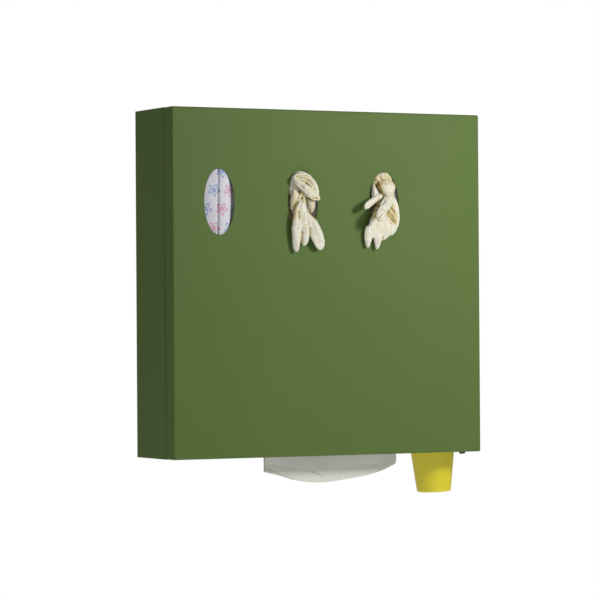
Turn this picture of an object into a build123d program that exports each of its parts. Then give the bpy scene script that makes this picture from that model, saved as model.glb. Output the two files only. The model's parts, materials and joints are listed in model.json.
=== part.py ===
from build123d import *
import os
from math import cos, radians, sin

# Wall dispenser cabinet for folded masks, gloves, paper towels and cups, in millimetres.
# The origin is the centre of the wall-fixing holes on the back plane.
# +X is right as seen from the front, +Y goes into the wall, +Z is up.

# Cabinet body
cabinet_width = 545
cabinet_height = 540
cabinet_depth = 135
body_sheet = 1.2
bend_radius = 1.0           # inside radius of the folds
return_width = 12           # narrow folds that stiffen the open front
weld_gap = 0.1              # between sheets that are spot-welded together
fixing_inset_x = 122.5
fixing_inset_z = 50
fixing_hole_radius = 3.5

# Door
door_sheet = 1.5
door_flange = 26            # depth of the folded edge
door_gap = 2                # between the folded edge and the body
door_edge_radius = 3
edge_share = 0.99           # how far a tray's lower edges follow its corner radius
slot_width = 52
slot_height = 102
slot_drop = 145             # slot centre below the cabinet's top
slot_inset = 80             # first slot centre from the left side
slot_to_cups = 128          # last slot centre to the cups' middle
slot_count = 3

# Pivot hinge, one at each end of the door's left edge
pivot_inset = 7.5
pivot_setback = 8.5         # behind the door's front face
pin_radius = 2.5
pin_head_radius = 4
pin_head_height = 1.5
running_clearance = 0.06
bush_wall = 1.0
bush_flange_width = 0.8
bush_flange_height = 0.8
bush_bracket_gap = 0.2
bracket_thickness = 3
bracket_arm_width = 8
bracket_swing_gap = 1.5     # between the leg and the swinging door flange
bracket_foot = 24
bracket_foot_setback = 7    # behind the body's front edge

# Card boxes behind the slots, and the folded steel holders that carry them
box_side_gap = 20           # between neighbouring glove boxes
box_depth = 70
glove_box_height = 240
mask_box_height = 190
mask_box_narrower = 20      # than a glove box
card = 0.6
glove_window = (46, 100)
mask_window = (58, 108)
holder_sheet = 1.0
holder_standoff = 3.5       # between the door's inner face and the holder
holder_ear = 12
holder_window_margin = 5
holder_lip = 20
cheek_depth = 30
cheek_height = 120
box_gap = 0.3
pack_gap = 0.5
pack_recess = 3
stud_radius = 2.0
stud_length = 6.5
stud_spacing = 80
screw_clearance = 0.15
nut_height = 3.2
nut_width = 7

# Soft contents
mask_lobes = ((-11.5, 11.5, 5.2, 3.9), (11.5, 11.5, 6.5, 3.6))  # middle, half sizes, setback
mask_lobe_height = 92
mask_lobe_sections = (-0.75, 0, 0.75)   # of the lobe's half height
blunt_tip = 0.15            # width of a soft tip, as a share of the section beside it

# Shelf and the towel compartment
shelf_box_gap = 20          # between the glove boxes and the shelf
shelf_flange = 12
shelf_setback = 3           # behind the body's front edge
towel_width = 236
towel_depth = 90
towel_headroom = 54.6       # between the towel pile and the shelf
towel_to_cups = 203.5       # middle of the towels to the cups' middle
towel_front_setback = 9     # behind the body's front edge
towel_fold_pitch = 11
towel_fold_bulge = 2.2
towel_side_gap = 3
towel_seat_gap = 0.25
divider_flange = 12
divider_setback = 7
front_plate_height = 70
towel_slot_depth = 52
towel_slot_web = 10         # between the slot and the body's front edge
towel_slot_corner = 6
leaf_setback = 14           # front leaf behind the body's front edge
leaf_thickness = 1.2
leaf_gap = 0.4
rear_leaf_thickness = 3.4
front_leaf_sag = (12, 20, 25, 20.5, 14)     # below the cabinet, evenly spaced across the towels
rear_leaf_sag = (26, 38, 43.5, 36, 18)
soft_edge_share = 0.44      # radius of the rounded fold, as a share of its thickness
leaf_corner = 3             # between the lower edge's ends and the sides

# Cup dispenser
cup_inset = 47              # cups' middle from the right side
cup_setback = 75            # behind the cabinet's front
cup_height = 75
cup_base_radius = 27.25
cup_mouth_radius = 36.3
cup_wall = 0.6
cup_bead = 0.8
cup_bead_height = 1.8
cup_edge_radius = 2.5
cup_foot_recess = 1.5
cup_foot_width = 4
cup_pitch = 9
cup_count = 6               # nested above the lowest one
cup_tilts = (2.0, 1.6, 1.2, 0.8, 0.4)   # degrees, the lowest cup first, upright above
cup_seat_gap = 0.1
tube_clearance = 1.1
tube_wall = 1.0
tube_top_gap = 92           # between the tube and the cabinet's top
tube_slot_angle = 44
collar_lip = 0.35           # clearance round the cup under its bead
collar_lip_height = 1.4
collar_height = 4.8
collar_rim_height = 3       # that locates the tube
collar_flange_width = 1.1
collar_snap = 0.8
collar_hole_gap = 0.2
collar_skirt_wall = 1.3
clip_sheet = 1.2
clip_height = 16
clip_gap = 0.15
clip_leg = 14
clip_opening = 150          # degrees that the spring clip leaves free
lower_clip_level = 60       # above the cabinet's bottom
upper_clip_drop = 58        # below the tube's top

# Magnetic catch and buffers
catch_drop = 55             # middle of the catch below the cabinet's top
catch_length = 32
catch_width = 13.8
catch_depth = 20
catch_flange = 3
catch_return_gap = 0.3
magnet_width = 9.8
magnet_length = 24
magnet_depth = 16
magnet_gap = 0.2
pole_thickness = 1.5
pole_height = 0.8
strike_sheet = 1.2
strike_foot = 18
catch_screw_radius = 1.4
catch_screw_length = 6
catch_screw_end = 5         # from either end of the catch
screw_head_radius = 2.6
screw_head_height = 1.1
buffer_radius = 3.5
buffer_inset = 3.9
buffer_end_inset = 30       # from the top and from the bottom
buffer_gap = 0.3

# Turn latch in the door's lower edge
latch_inset = 27.5          # from the right side
latch_setback = 13          # behind the door's front face
knob_radius = 5.2
knob_height = 2.8
knob_grip = 3.0
barrel_radius = 4.0
barrel_flange_radius = 5.2
barrel_flange_height = 0.6
barrel_height = 11.5
spindle_radius = 2.2
spindle_square = 3.0
cam_sheet = 1.5
cam_width = 6
cam_hub_radius = 4.5
cam_reach = 18.25           # from the spindle to the middle of the turned-down end
cam_drop = 5.5
cam_lip_gap = 1.5
cam_screw_radius = 1.2
cam_screw_length = 5
latch_nut_width = 11
latch_nut_height = 3

# Places that follow from the sizes above
left = -cabinet_width / 2
right = cabinet_width / 2
top = cabinet_height / 2
bottom = -cabinet_height / 2
front = -cabinet_depth
door_rear = front + door_flange
body_front = door_rear + door_gap
inner_left = left + body_sheet + weld_gap
inner_right = right - body_sheet - weld_gap
inner_back = -body_sheet - weld_gap
floor = bottom + body_sheet
slot_level = top - slot_drop
cup_middle = right - cup_inset
towel_middle = cup_middle - towel_to_cups
slot_pitch = (cup_middle - slot_to_cups - left - slot_inset) / (slot_count - 1)
glove_box_width = slot_pitch - box_side_gap
glove_box_size = (glove_box_width, box_depth, glove_box_height)
mask_box_size = (glove_box_width - mask_box_narrower, box_depth, mask_box_height)
slot_middles = [left + slot_inset + i * slot_pitch for i in range(slot_count)]
door_inside = front + door_sheet
holder_front = door_inside + holder_standoff
box_front = holder_front + holder_sheet + box_gap
pivot_x = left + pivot_inset
pivot_y = front + pivot_setback
shelf_top = slot_level - glove_box_height / 2 - shelf_box_gap
shelf_underside = shelf_top - body_sheet
towel_pile_height = shelf_underside - floor - towel_headroom
towel_front = body_front + towel_front_setback
cup_y = front + cup_setback
cup_slope = (cup_mouth_radius - cup_base_radius) / cup_height
tube_inner_radius = cup_mouth_radius + cup_bead + tube_clearance
tube_outer_radius = tube_inner_radius + tube_wall
collar_top = floor + collar_height
tube_height = top - tube_top_gap - collar_top
clip_levels = (bottom + lower_clip_level, top - tube_top_gap - upper_clip_drop)
catch_level = top - catch_drop
collar_outer_radius = tube_outer_radius + collar_flange_width
collar_skirt_radius = tube_outer_radius - collar_flange_width / 2
latch_x = right - latch_inset
latch_y = front + latch_setback
bracket_reach = door_flange - pivot_setback + bracket_swing_gap + bracket_arm_width / 2
bracket_low = bottom + door_sheet + bush_flange_height + bush_bracket_gap
bracket_high = bracket_low + bracket_thickness
bracket_drop = bracket_high - floor
collar_seat = cup_wall
cup_radius_at_lip = cup_mouth_radius - cup_slope * cup_bead_height
cam_low_face = floor + return_width + cam_lip_gap - body_sheet
cam_low = cam_low_face - cam_drop
strike_rear = body_front - 4 * magnet_gap
magnet_x = right - return_width - catch_return_gap - catch_width / 2
magnet_back = strike_rear + magnet_gap + magnet_depth
catch_screw_places = [
    (right - return_width / 2, catch_level + end * (catch_length / 2 - catch_screw_end))
    for end in (-1, 1)
]
box_sizes = (mask_box_size, glove_box_size, glove_box_size)


def plan(z):
    """Plane for outlines in X and Y, drawn out upwards from height z."""
    return Plane.XY.offset(z)


def side_on(x):
    """Plane for outlines in Y and Z, drawn out to the right from x."""
    return Plane(origin=(x, 0, 0), x_dir=(0, 1, 0), z_dir=(1, 0, 0))


def front_on(y):
    """Plane for outlines in X and Z, drawn out forwards from y."""
    return Plane(origin=(0, y, 0), x_dir=(1, 0, 0), z_dir=(0, -1, 0))


def drawn(plane, outline, length):
    """Draw a flat outline out along its plane's normal."""
    return extrude(plane * outline, amount=length, dir=plane.z_dir)


def folded(plane, points, sheet, length, radius=bend_radius):
    """Sheet folded along a bent middle line in the plane."""
    line = FilletPolyline(*points, radius=radius + sheet / 2)
    return drawn(plane, trace(line, line_width=sheet), length)


def oval(width, height):
    """Upright oval."""
    return Ellipse(width / 2, height / 2)


def holes_at(places, radius):
    """Round outlines of one radius at several places in a plane."""
    return Sketch() + [Pos(*place) * Circle(radius) for place in places]


def cut_box(low, high):
    """Square-cornered space between two corners, used to cut notches."""
    size = [b - a for a, b in zip(low, high)]
    middle = [(a + b) / 2 for a, b in zip(low, high)]
    return Pos(*middle) * Box(*size)


def wedge(angle, reach):
    """Flat wedge that opens towards the front, used to cut a ring open."""
    across = reach * sin(radians(angle / 2))
    ahead = -reach * cos(radians(angle / 2))
    return Polygon((0, 0), (across, ahead), (-across, ahead), align=None)


def disc(x, y, radius, z_low, z_high):
    """Upright round bar or hole."""
    return drawn(plan(z_low), Pos(x, y) * Circle(radius), z_high - z_low)


def tray_block(width, depth, height, edge_radius):
    """Block standing on z = 0 with its upright and its lower edges rounded."""
    block = drawn(plan(0), RectangleRounded(width, depth, edge_radius), height)
    return fillet(block.edges().group_by(Axis.Z)[0], edge_radius * edge_share)


def tray(width, depth, height, sheet, edge_radius):
    """Open tray standing on z = 0, folded up on all four sides, with rounded edges."""
    outer = tray_block(width, depth, height, edge_radius)
    inner = tray_block(width - 2 * sheet, depth - 2 * sheet, height, edge_radius - sheet)
    return outer - Pos(0, 0, sheet) * inner


def lobe(stations):
    """Soft rounded body through flattened oval sections, with blunt tips. A station is x, y, z,
    half width and half thickness, and the ends state 0. Widths lie in the plane of the door."""
    points = [Vector(*station[:3]) for station in stations]
    widths = [station[3:] for station in stations]
    widths[0] = [blunt_tip * size for size in widths[1]]
    widths[-1] = [blunt_tip * size for size in widths[-2]]
    before = points[:1] + points[:-1]
    after = points[1:] + points[-1:]
    sections = []
    for start, here, end, (half_width, half_thickness) in zip(before, points, after, widths):
        along = (end - start).normalized()
        across = along.cross(Vector(0, -1, 0)).normalized()
        frame = Plane(origin=here, x_dir=across, z_dir=along)
        sections.append(frame * Ellipse(half_width, half_thickness))
    return loft(sections)


def make_door_panel():
    """Door: one folded tray with three oval slots, pivot holes and the latch hole."""
    door = tray(cabinet_width, cabinet_height, door_flange, door_sheet, door_edge_radius)
    door = Pos(0, front, 0) * Rot(-90, 0, 0) * door
    for x in slot_middles:
        outline = Pos(x, slot_level) * oval(slot_width, slot_height)
        door -= drawn(front_on(front + 2 * door_sheet), outline, 3 * door_sheet)
    bush_hole = pin_radius + running_clearance + bush_wall + weld_gap / 2
    door -= disc(pivot_x, pivot_y, bush_hole, bottom - 1, top + 1)
    door -= disc(latch_x, latch_y, barrel_radius + weld_gap, bottom - 1, bottom + 2 * door_sheet)
    return door


def make_body_shell():
    """Left side, back and right side folded from one sheet, with returns along the front."""
    half = body_sheet / 2
    points = [
        (left + return_width, body_front + half),
        (left + half, body_front + half),
        (left + half, -half),
        (right - half, -half),
        (right - half, body_front + half),
        (right - return_width, body_front + half),
    ]
    shell = folded(plan(bottom), points, body_sheet, cabinet_height)
    corners = [(i * (right - fixing_inset_x), j * (top - fixing_inset_z)) for i in (-1, 1) for j in (-1, 1)]
    holes = holes_at(corners, fixing_hole_radius)
    shell -= drawn(front_on(1), holes, 2 * body_sheet + 1)
    screws = holes_at(catch_screw_places, catch_screw_radius + screw_clearance)
    return shell - drawn(front_on(body_front + 2 * body_sheet), screws, 3 * body_sheet)


def end_tray():
    """Tray that closes the body at one end, notched round the shell's front returns."""
    width = inner_right - inner_left
    depth = inner_back - body_front
    panel = tray(width, depth, return_width, body_sheet, bend_radius + body_sheet)
    panel = Pos(0, body_front + depth / 2, 0) * panel
    for x in (left, right - return_width - weld_gap):
        low = (x, body_front - 1, -1)
        fold = body_front + body_sheet + bend_radius
        panel -= cut_box(low, (x + return_width + weld_gap, fold, return_width + 1))
    leg = pivot_x + bracket_reach
    gap = bracket_arm_width / 2 + 1
    notch_top = body_sheet + bracket_drop + 1
    low = (leg - gap, body_front - 1, body_sheet)
    return panel - cut_box(low, (leg + gap, body_front + 2 * body_sheet, notch_top))


def make_top_panel():
    """Top of the body, folded down on all four sides."""
    return Pos(0, 0, top) * mirror(end_tray(), about=Plane.XY)


def make_bottom_panel():
    """Bottom of the body, with the towel slot, the cup hole and the latch's notch."""
    panel = Pos(0, 0, bottom) * end_tray()
    depth = towel_slot_depth
    slot = RectangleRounded(towel_width + 2 * towel_side_gap, depth, towel_slot_corner)
    slot = Pos(towel_middle, body_front + towel_slot_web + depth / 2) * slot
    panel -= drawn(plan(bottom - 1), slot, body_sheet + 2)
    hole = collar_skirt_radius + collar_hole_gap
    panel -= disc(cup_middle, cup_y, hole, bottom - 1, floor + 1)
    lip_from = body_front - latch_y
    lip_to = lip_from + body_sheet
    end_out = ((cam_reach + cam_sheet / 2) ** 2 + (cam_width / 2) ** 2) ** 0.5
    reach_out = (end_out**2 - lip_from**2) ** 0.5 + cam_lip_gap
    reach_in = ((cam_reach - cam_sheet / 2) ** 2 - lip_to**2) ** 0.5 - cam_lip_gap
    low = (latch_x - reach_out, body_front - 1, cam_low - 1)
    high = (latch_x - reach_in, body_front + 2 * body_sheet, floor + return_width)
    return panel - cut_box(low, high)


def make_shelf():
    """Shelf over the towels, folded down on all sides, with the hole that steadies the tube."""
    width = inner_right - inner_left
    depth = inner_back - body_front - shelf_setback
    shelf = tray(width, depth, shelf_flange, body_sheet, bend_radius + body_sheet)
    shelf = mirror(shelf, about=Plane.XY)
    shelf = Pos(0, body_front + shelf_setback + depth / 2, shelf_top) * shelf
    hole = tube_outer_radius + clip_gap
    return shelf - disc(cup_middle, cup_y, hole, shelf_top - 2 * body_sheet, shelf_top + 1)


def make_towel_divider(direction):
    """Upright wall beside the towels, with flanges turned away from them. direction is -1 for
    the left wall and 1 for the right one."""
    half = body_sheet / 2
    wall = towel_middle + direction * (towel_width / 2 + towel_side_gap + body_sheet + half)
    flange = wall + direction * divider_flange
    low = floor + weld_gap + half
    high = shelf_underside - weld_gap - half
    points = [(flange, low), (wall, low), (wall, high), (flange, high)]
    y_front = body_front + divider_setback
    y_back = inner_back - body_sheet - bend_radius
    return folded(front_on(y_back), points, body_sheet, y_back - y_front)


def make_towel_front_plate():
    """Low plate in front of the towels, folded back at both ends onto the dividers."""
    half = body_sheet / 2
    reach = towel_width / 2 + towel_side_gap + half - weld_gap
    y = body_front + divider_setback + half
    fold = y + return_width
    points = [
        (towel_middle - reach, fold),
        (towel_middle - reach, y),
        (towel_middle + reach, y),
        (towel_middle + reach, fold),
    ]
    return folded(plan(floor + weld_gap), points, body_sheet, front_plate_height)


def make_towel_stack():
    """Pile of interfolded towels: the folds bulge in turn along its front and its back."""
    low = floor + towel_seat_gap
    folds = round(towel_pile_height / towel_fold_pitch)
    pitch = towel_pile_height / folds
    front_y = towel_front + towel_fold_bulge
    back_y = towel_front + towel_depth - towel_fold_bulge
    edges = []
    for i in range(folds):
        z = low + i * pitch
        middle = z + pitch / 2
        for y, out in ((front_y, -towel_fold_bulge), (back_y, towel_fold_bulge)):
            edges.append(ThreePointArc((y, z), (y + out, middle), (y, z + pitch)))
    high = low + folds * pitch
    edges.append(Line((front_y, low), (back_y, low)))
    edges.append(Line((front_y, high), (back_y, high)))
    return drawn(side_on(towel_middle - towel_width / 2), make_face(edges), towel_width)


def hanging_leaf(y_front, thickness, sag, soft_edge):
    """Towel leaf that hangs through the slot, with a sagging lower edge."""
    high = floor + towel_seat_gap / 2
    half = towel_width / 2
    step = 2 * (half - leaf_corner) / (len(sag) - 1)
    reach = half - leaf_corner
    curve = [(towel_middle - reach + i * step, bottom - drop) for i, drop in enumerate(sag)]
    start = (towel_middle - half, curve[0][1])
    end = (towel_middle + half, curve[-1][1])
    edge = Spline(*curve)
    sides = Polyline(curve[-1], end, (end[0], high), (start[0], high), start, curve[0])
    leaf = drawn(front_on(y_front + thickness), make_face([edge, *sides.edges()]), thickness)
    if soft_edge:
        longest = leaf.edges().filter_by(GeomType.BSPLINE)
        leaf = fillet(longest, thickness * soft_edge_share)
    return leaf


def make_towel_leaf_front():
    """Short leaf in front, with the sheet's edge sagging in the middle."""
    return hanging_leaf(body_front + leaf_setback, leaf_thickness, front_leaf_sag, False)


def make_towel_leaf_rear():
    """Folded leaf behind it, doubled over, with a rounded fold along its lower edge."""
    y = body_front + leaf_setback + leaf_thickness + leaf_gap
    return hanging_leaf(y, rear_leaf_thickness, rear_leaf_sag, True)


def cup_shape():
    """Thin tapered cup standing on z = 0, with a rolled rim and a recessed foot."""
    foot = cup_base_radius - cup_foot_width
    inside = cup_base_radius - cup_wall
    seat = cup_foot_recess + cup_wall
    rim_low = cup_height - cup_bead_height
    low_edge = cup_base_radius - cup_edge_radius
    outside = cup_base_radius + cup_slope * cup_edge_radius
    bend = cup_edge_radius * sin(radians(45))
    section = [
        Line((0, cup_foot_recess), (foot, cup_foot_recess)),
        Line((foot, cup_foot_recess), (foot, 0)),
        Line((foot, 0), (low_edge, 0)),
        ThreePointArc(
            (low_edge, 0),
            (low_edge + bend, cup_edge_radius - bend),
            (outside, cup_edge_radius),
        ),
        Polyline(
            (outside, cup_edge_radius),
            (cup_base_radius + cup_slope * rim_low, rim_low),
            (cup_mouth_radius + cup_bead, rim_low),
            (cup_mouth_radius + cup_bead, cup_height),
            (cup_mouth_radius - cup_wall, cup_height),
            (inside + cup_slope * seat, seat),
            (0, seat),
            (0, cup_foot_recess),
        ),
    ]
    face = make_face([edge for part in section for edge in part.edges()])
    return revolve(Plane.XZ * face, Axis.Z)


def cup_place(index):
    """Where a cup stands: the lowest ones lean a little, their feet towards the right."""
    tilts = list(cup_tilts) + [0] * (cup_count + 1)
    rim_drop = (cup_mouth_radius + cup_bead) * sin(radians(tilts[0]))
    rim = collar_top - collar_seat + rim_drop + cup_bead_height + cup_seat_gap
    x = cup_middle + cup_height / 2 * sin(radians(tilts[0]))
    z = rim - cup_height / 2 * cos(radians(tilts[0]))
    for lower, upper in zip(tilts[:index], tilts[1:]):
        lean = radians((lower + upper) / 2)
        x -= cup_pitch * sin(lean)
        z += cup_pitch * cos(lean)
    return Pos(x, cup_y, z) * Rot(0, -tilts[index], 0) * Pos(0, 0, -cup_height / 2)


def make_cup_stack():
    """Cups nested above the lowest one."""
    cup = cup_shape()
    return Compound([cup_place(i) * cup for i in range(1, cup_count + 1)])


def make_cup_tube():
    """Upright tube open towards the front, so that the cups left can be seen."""
    ring = Circle(tube_outer_radius) - Circle(tube_inner_radius)
    outline = Pos(cup_middle, cup_y) * (ring - wedge(tube_slot_angle, 2 * tube_outer_radius))
    return drawn(plan(collar_top), outline, tube_height)


def make_cup_collar():
    """Collar snapped into the bottom panel: its inner lip holds the lowest cup's rim."""
    seat = collar_height
    lip = cup_radius_at_lip + collar_lip
    skirt_in = collar_skirt_radius - collar_skirt_wall
    outer = collar_outer_radius
    under = -body_sheet
    step = tube_outer_radius + clip_gap
    section = Polyline(
        (skirt_in, under - collar_snap),
        (collar_skirt_radius, under - collar_snap),
        (collar_skirt_radius + collar_snap, under - weld_gap),
        (collar_skirt_radius, under - weld_gap),
        (collar_skirt_radius, 0),
        (outer, 0),
        (outer, seat + collar_rim_height),
        (step, seat + collar_rim_height),
        (step, seat),
        (tube_inner_radius, seat),
        (tube_inner_radius, seat - collar_seat),
        (lip, seat - collar_seat),
        (lip, seat - collar_seat - collar_lip_height),
        (skirt_in, seat - collar_seat - 2 * collar_lip_height),
        (skirt_in, under - collar_snap),
    )
    face = make_face(section.edges())
    return Pos(cup_middle, cup_y, floor) * revolve(Plane.XZ * face, Axis.Z)


def make_tube_clip(z):
    """Spring clip round the back of the tube, on a bracket welded to the back wall."""
    inner = tube_outer_radius + clip_gap
    outer = inner + clip_sheet
    ring = Circle(outer) - Circle(inner)
    wall = inner_back - clip_sheet / 2 - cup_y
    start = (outer**2 - clip_leg**2) ** 0.5 - clip_sheet / 2
    points = [(-clip_leg, start), (-clip_leg, wall), (clip_leg, wall), (clip_leg, start)]
    line = FilletPolyline(*points, radius=bend_radius + clip_sheet / 2)
    outline = (ring - wedge(clip_opening, 4 * outer)) + trace(line, line_width=clip_sheet)
    outline = Pos(cup_middle, cup_y) * outline
    return drawn(plan(z), outline, clip_height)


def make_hinge_bracket():
    """Lower hinge bracket: an arm that comes to the pin from the right, under the door's
    edge, so that the door's left flange can swing past it."""
    y_foot = body_front + bracket_foot_setback + bracket_foot / 2
    line = Polyline((0, 0), (bracket_reach, 0), (bracket_reach, y_foot - pivot_y))
    arm = trace(line, line_width=bracket_arm_width) + Circle(bracket_arm_width / 2)
    foot = Pos(bracket_reach, y_foot - pivot_y) * Rectangle(bracket_foot, bracket_foot)
    outline = arm + foot - Circle(pin_radius + running_clearance)
    bracket = drawn(plan(bracket_low), Pos(pivot_x, pivot_y) * outline, bracket_thickness)
    pad = Pos(pivot_x, pivot_y) * foot
    return bracket + drawn(plan(floor), pad, bracket_drop - bracket_thickness)


def make_hinge_pins():
    """Headed pins that stand in the brackets and run in the door's bushes."""
    lower = disc(pivot_x, pivot_y, pin_radius, bottom + weld_gap, bracket_high)
    head = disc(pivot_x, pivot_y, pin_head_radius, bracket_high, bracket_high + pin_head_height)
    lower += head
    return Compound([lower, mirror(lower, about=Plane.XY)])


def make_hinge_bushes():
    """Flanged nylon bushes in the door's lower and upper edges."""
    inner = pin_radius + running_clearance
    outer = inner + bush_wall
    flange_low = bottom + door_sheet
    flange_high = flange_low + bush_flange_height
    lower = disc(pivot_x, pivot_y, outer, bottom, flange_high)
    lower += disc(pivot_x, pivot_y, outer + bush_flange_width, flange_low, flange_high)
    lower -= disc(pivot_x, pivot_y, inner, bottom - 1, flange_high + 1)
    return Compound([lower, mirror(lower, about=Plane.XY)])


def make_holder(x, box_size, window_margin):
    """Folded steel holder for one card box: a plate with joggled ears that stand on the door,
    a ledge with a lip behind the box, and a cheek on either side of it."""
    width, depth, height = box_size
    half = holder_sheet / 2
    y_ear = door_inside + half
    y_plate = y_ear + holder_standoff
    low = slot_level - height / 2 - box_gap - holder_sheet
    high = slot_level + height / 2 + box_gap
    outer_width = width + 2 * (box_gap + holder_sheet)
    joggle = holder_standoff
    profile = [
        (y_ear, low - joggle - holder_ear),
        (y_ear, low - joggle),
        (y_plate, low),
        (y_plate, high),
        (y_ear, high + joggle),
        (y_ear, high + joggle + holder_ear),
    ]
    holder = folded(side_on(x - outer_width / 2), profile, holder_sheet, outer_width, half)
    y_lip = box_front + depth + box_gap + half
    ledge = [(y_plate, low + half), (y_lip, low + half), (y_lip, low + holder_lip)]
    holder += folded(side_on(x - width / 2), ledge, holder_sheet, width, half)
    reach = outer_width / 2 - half
    y_cheek = y_plate + cheek_depth
    cheeks = [(x - reach, y_cheek), (x - reach, y_plate), (x + reach, y_plate), (x + reach, y_cheek)]
    holder += folded(plan(low + holder_sheet), cheeks, holder_sheet, cheek_height, half)
    window = oval(slot_width + 2 * window_margin, slot_height + 2 * window_margin)
    window = Pos(x, slot_level) * window
    holder -= drawn(front_on(y_plate + holder_sheet), window, 2 * holder_sheet)
    holes = holes_at(stud_places(x, box_size), stud_radius + screw_clearance)
    return holder - drawn(front_on(y_ear + holder_sheet), holes, 2 * holder_sheet)


def stud_places(x, box_size):
    """Stud positions in X and Z for the holder of one box."""
    reach = box_size[2] / 2 + box_gap + holder_sheet + holder_standoff + holder_ear / 2
    return [(x + i * stud_spacing / 2, slot_level + j * reach) for i in (-1, 1) for j in (-1, 1)]


def all_stud_places():
    """Stud positions of all the holders."""
    return [p for x, size in zip(slot_middles, box_sizes) for p in stud_places(x, size)]


def make_weld_studs():
    """Threaded studs welded to the inside of the door."""
    rods = holes_at(all_stud_places(), stud_radius)
    return drawn(front_on(door_inside + stud_length), rods, stud_length)


def make_stud_nuts():
    """Hexagon nuts that hold the holders on their studs."""
    y = door_inside + holder_sheet
    hexagon = RegularPolygon(nut_width / 2, 6, major_radius=False)
    outline = hexagon - Circle(stud_radius + running_clearance)
    outlines = Sketch() + [Pos(*place) * outline for place in all_stud_places()]
    return drawn(front_on(y + nut_height), outlines, nut_height)


def make_card_box(x, size, window_size):
    """Closed card box with an oval window in its front."""
    width, depth, height = size
    middle = box_front + depth / 2
    box = Box(*size) - Box(width - 2 * card, depth - 2 * card, height - 2 * card)
    box = Pos(x, middle, slot_level) * box
    window = Pos(x, slot_level) * oval(*window_size)
    return box - drawn(front_on(box_front + 2 * card), window, 3 * card)


def make_glove_pack(x):
    """Block of flat interfolded gloves that fills a box behind its window."""
    width, depth, height = [s - 2 * (card + pack_gap) for s in glove_box_size]
    depth -= pack_recess
    low = box_front + card + pack_gap + pack_recess
    block = Pos(x, low + depth / 2, slot_level) * Box(width, depth, height)
    return fillet(block.edges(), pack_recess)


def make_mask_stack(x):
    """Pile of folded masks on edge. The front one is pleated into two upright lobes."""
    width, depth, height = [s - 2 * (card + pack_gap) for s in mask_box_size]
    depth -= pack_recess
    low = box_front + card + pack_gap + pack_recess
    block = Pos(x, low + depth / 2, slot_level) * Box(width, depth, height)
    block = fillet(block.edges().filter_by(Axis.Z), pack_recess)
    reach = mask_lobe_height / 2
    for middle, half_width, half_depth, setback in mask_lobes:
        y = box_front + setback
        stations = [(x + middle, y, slot_level - reach, 0, 0)]
        for part in mask_lobe_sections:
            swell = (1 - part**2) ** 0.5
            z = slot_level + part * reach
            stations.append((x + middle, y, z, half_width * swell, half_depth * swell))
        stations.append((x + middle, y, slot_level + reach, 0, 0))
        block += lobe(stations)
    return block


def make_glove(x, lobes):
    """Glove pulled out through a slot: a wad in the slot, and folds and fingers in front of the
    door. Stations are measured from the slot's middle, right, up and out of the door."""
    glove = None
    for stations in lobes:
        placed = [(x + u, front - w, slot_level + v, a, b) for u, v, w, a, b in stations]
        glove = lobe(placed) if glove is None else glove + lobe(placed)
    return glove


def magnet_z(end):
    """Height of the magnet's lower end for -1 and of its upper end for 1."""
    return catch_level + end * magnet_length / 2


def make_catch_body():
    """Moulded body of the magnetic catch, screwed behind the shell's right return."""
    z = catch_level - catch_length / 2
    face = body_front + body_sheet + catch_return_gap
    x_right = right - return_width - catch_return_gap
    y_front = body_front + magnet_gap
    head = Pos(x_right - catch_width / 2, y_front + catch_depth / 2)
    outline = head * Rectangle(catch_width, catch_depth)
    reach = return_width - body_sheet - catch_return_gap
    outline += Pos(x_right + reach / 2, face + catch_flange / 2) * Rectangle(reach, catch_flange)
    body = drawn(plan(z), outline, catch_length)
    pocket_low = (magnet_x - magnet_width / 2 - weld_gap, y_front - 1, magnet_z(-1) - weld_gap)
    pocket_high = (magnet_x + magnet_width / 2 + weld_gap, magnet_back, magnet_z(1) + weld_gap)
    body -= cut_box(pocket_low, pocket_high)
    holes = holes_at(catch_screw_places, catch_screw_radius)
    return body - drawn(front_on(face + catch_flange + 1), holes, catch_flange + 2)


def make_catch_magnet():
    """Magnet between two pole plates, which stand a little proud of it."""
    x_low = magnet_x - magnet_width / 2
    x_high = magnet_x + magnet_width / 2
    y_pole = strike_rear + magnet_gap
    y_back = magnet_back - weld_gap
    points = [
        (x_low, y_pole),
        (x_low + pole_thickness, y_pole),
        (x_low + pole_thickness, y_pole + pole_height),
        (x_high - pole_thickness, y_pole + pole_height),
        (x_high - pole_thickness, y_pole),
        (x_high, y_pole),
        (x_high, y_back),
        (x_low, y_back),
    ]
    return drawn(plan(magnet_z(-1)), Polygon(*points, align=None), magnet_length)


def make_strike_bracket():
    """Bracket welded inside the door that meets the magnet."""
    half = strike_sheet / 2
    x_low = magnet_x - magnet_width / 2 - strike_sheet
    points = [
        (x_low - strike_foot, door_inside + half),
        (x_low, door_inside + half),
        (x_low, strike_rear - half),
        (magnet_x + magnet_width / 2, strike_rear - half),
    ]
    return folded(plan(magnet_z(-1)), points, strike_sheet, magnet_length)


def make_catch_screws():
    """Screws through the shell's return into the catch."""
    heads = holes_at(catch_screw_places, screw_head_radius)
    rods = holes_at(catch_screw_places, catch_screw_radius - running_clearance)
    shanks = drawn(front_on(body_front + catch_screw_length), rods, catch_screw_length)
    return drawn(front_on(body_front), heads, screw_head_height) + shanks


def make_door_buffers():
    """Rubber buffers on the right return, just under the closed door's edge."""
    thickness = door_gap - buffer_gap
    x = right - buffer_inset
    places = [(x, end * (top - buffer_end_inset)) for end in (-1, 1)]
    return drawn(front_on(body_front), holes_at(places, buffer_radius), thickness)


def make_latch_housing():
    """Threaded barrel of the latch, with its flange under the door."""
    low = bottom - barrel_flange_height
    housing = disc(latch_x, latch_y, barrel_flange_radius, low, bottom)
    housing += disc(latch_x, latch_y, barrel_radius, bottom, bottom + barrel_height)
    bore = spindle_radius + running_clearance
    return housing - disc(latch_x, latch_y, bore, low - 1, bottom + barrel_height + 1)


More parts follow.
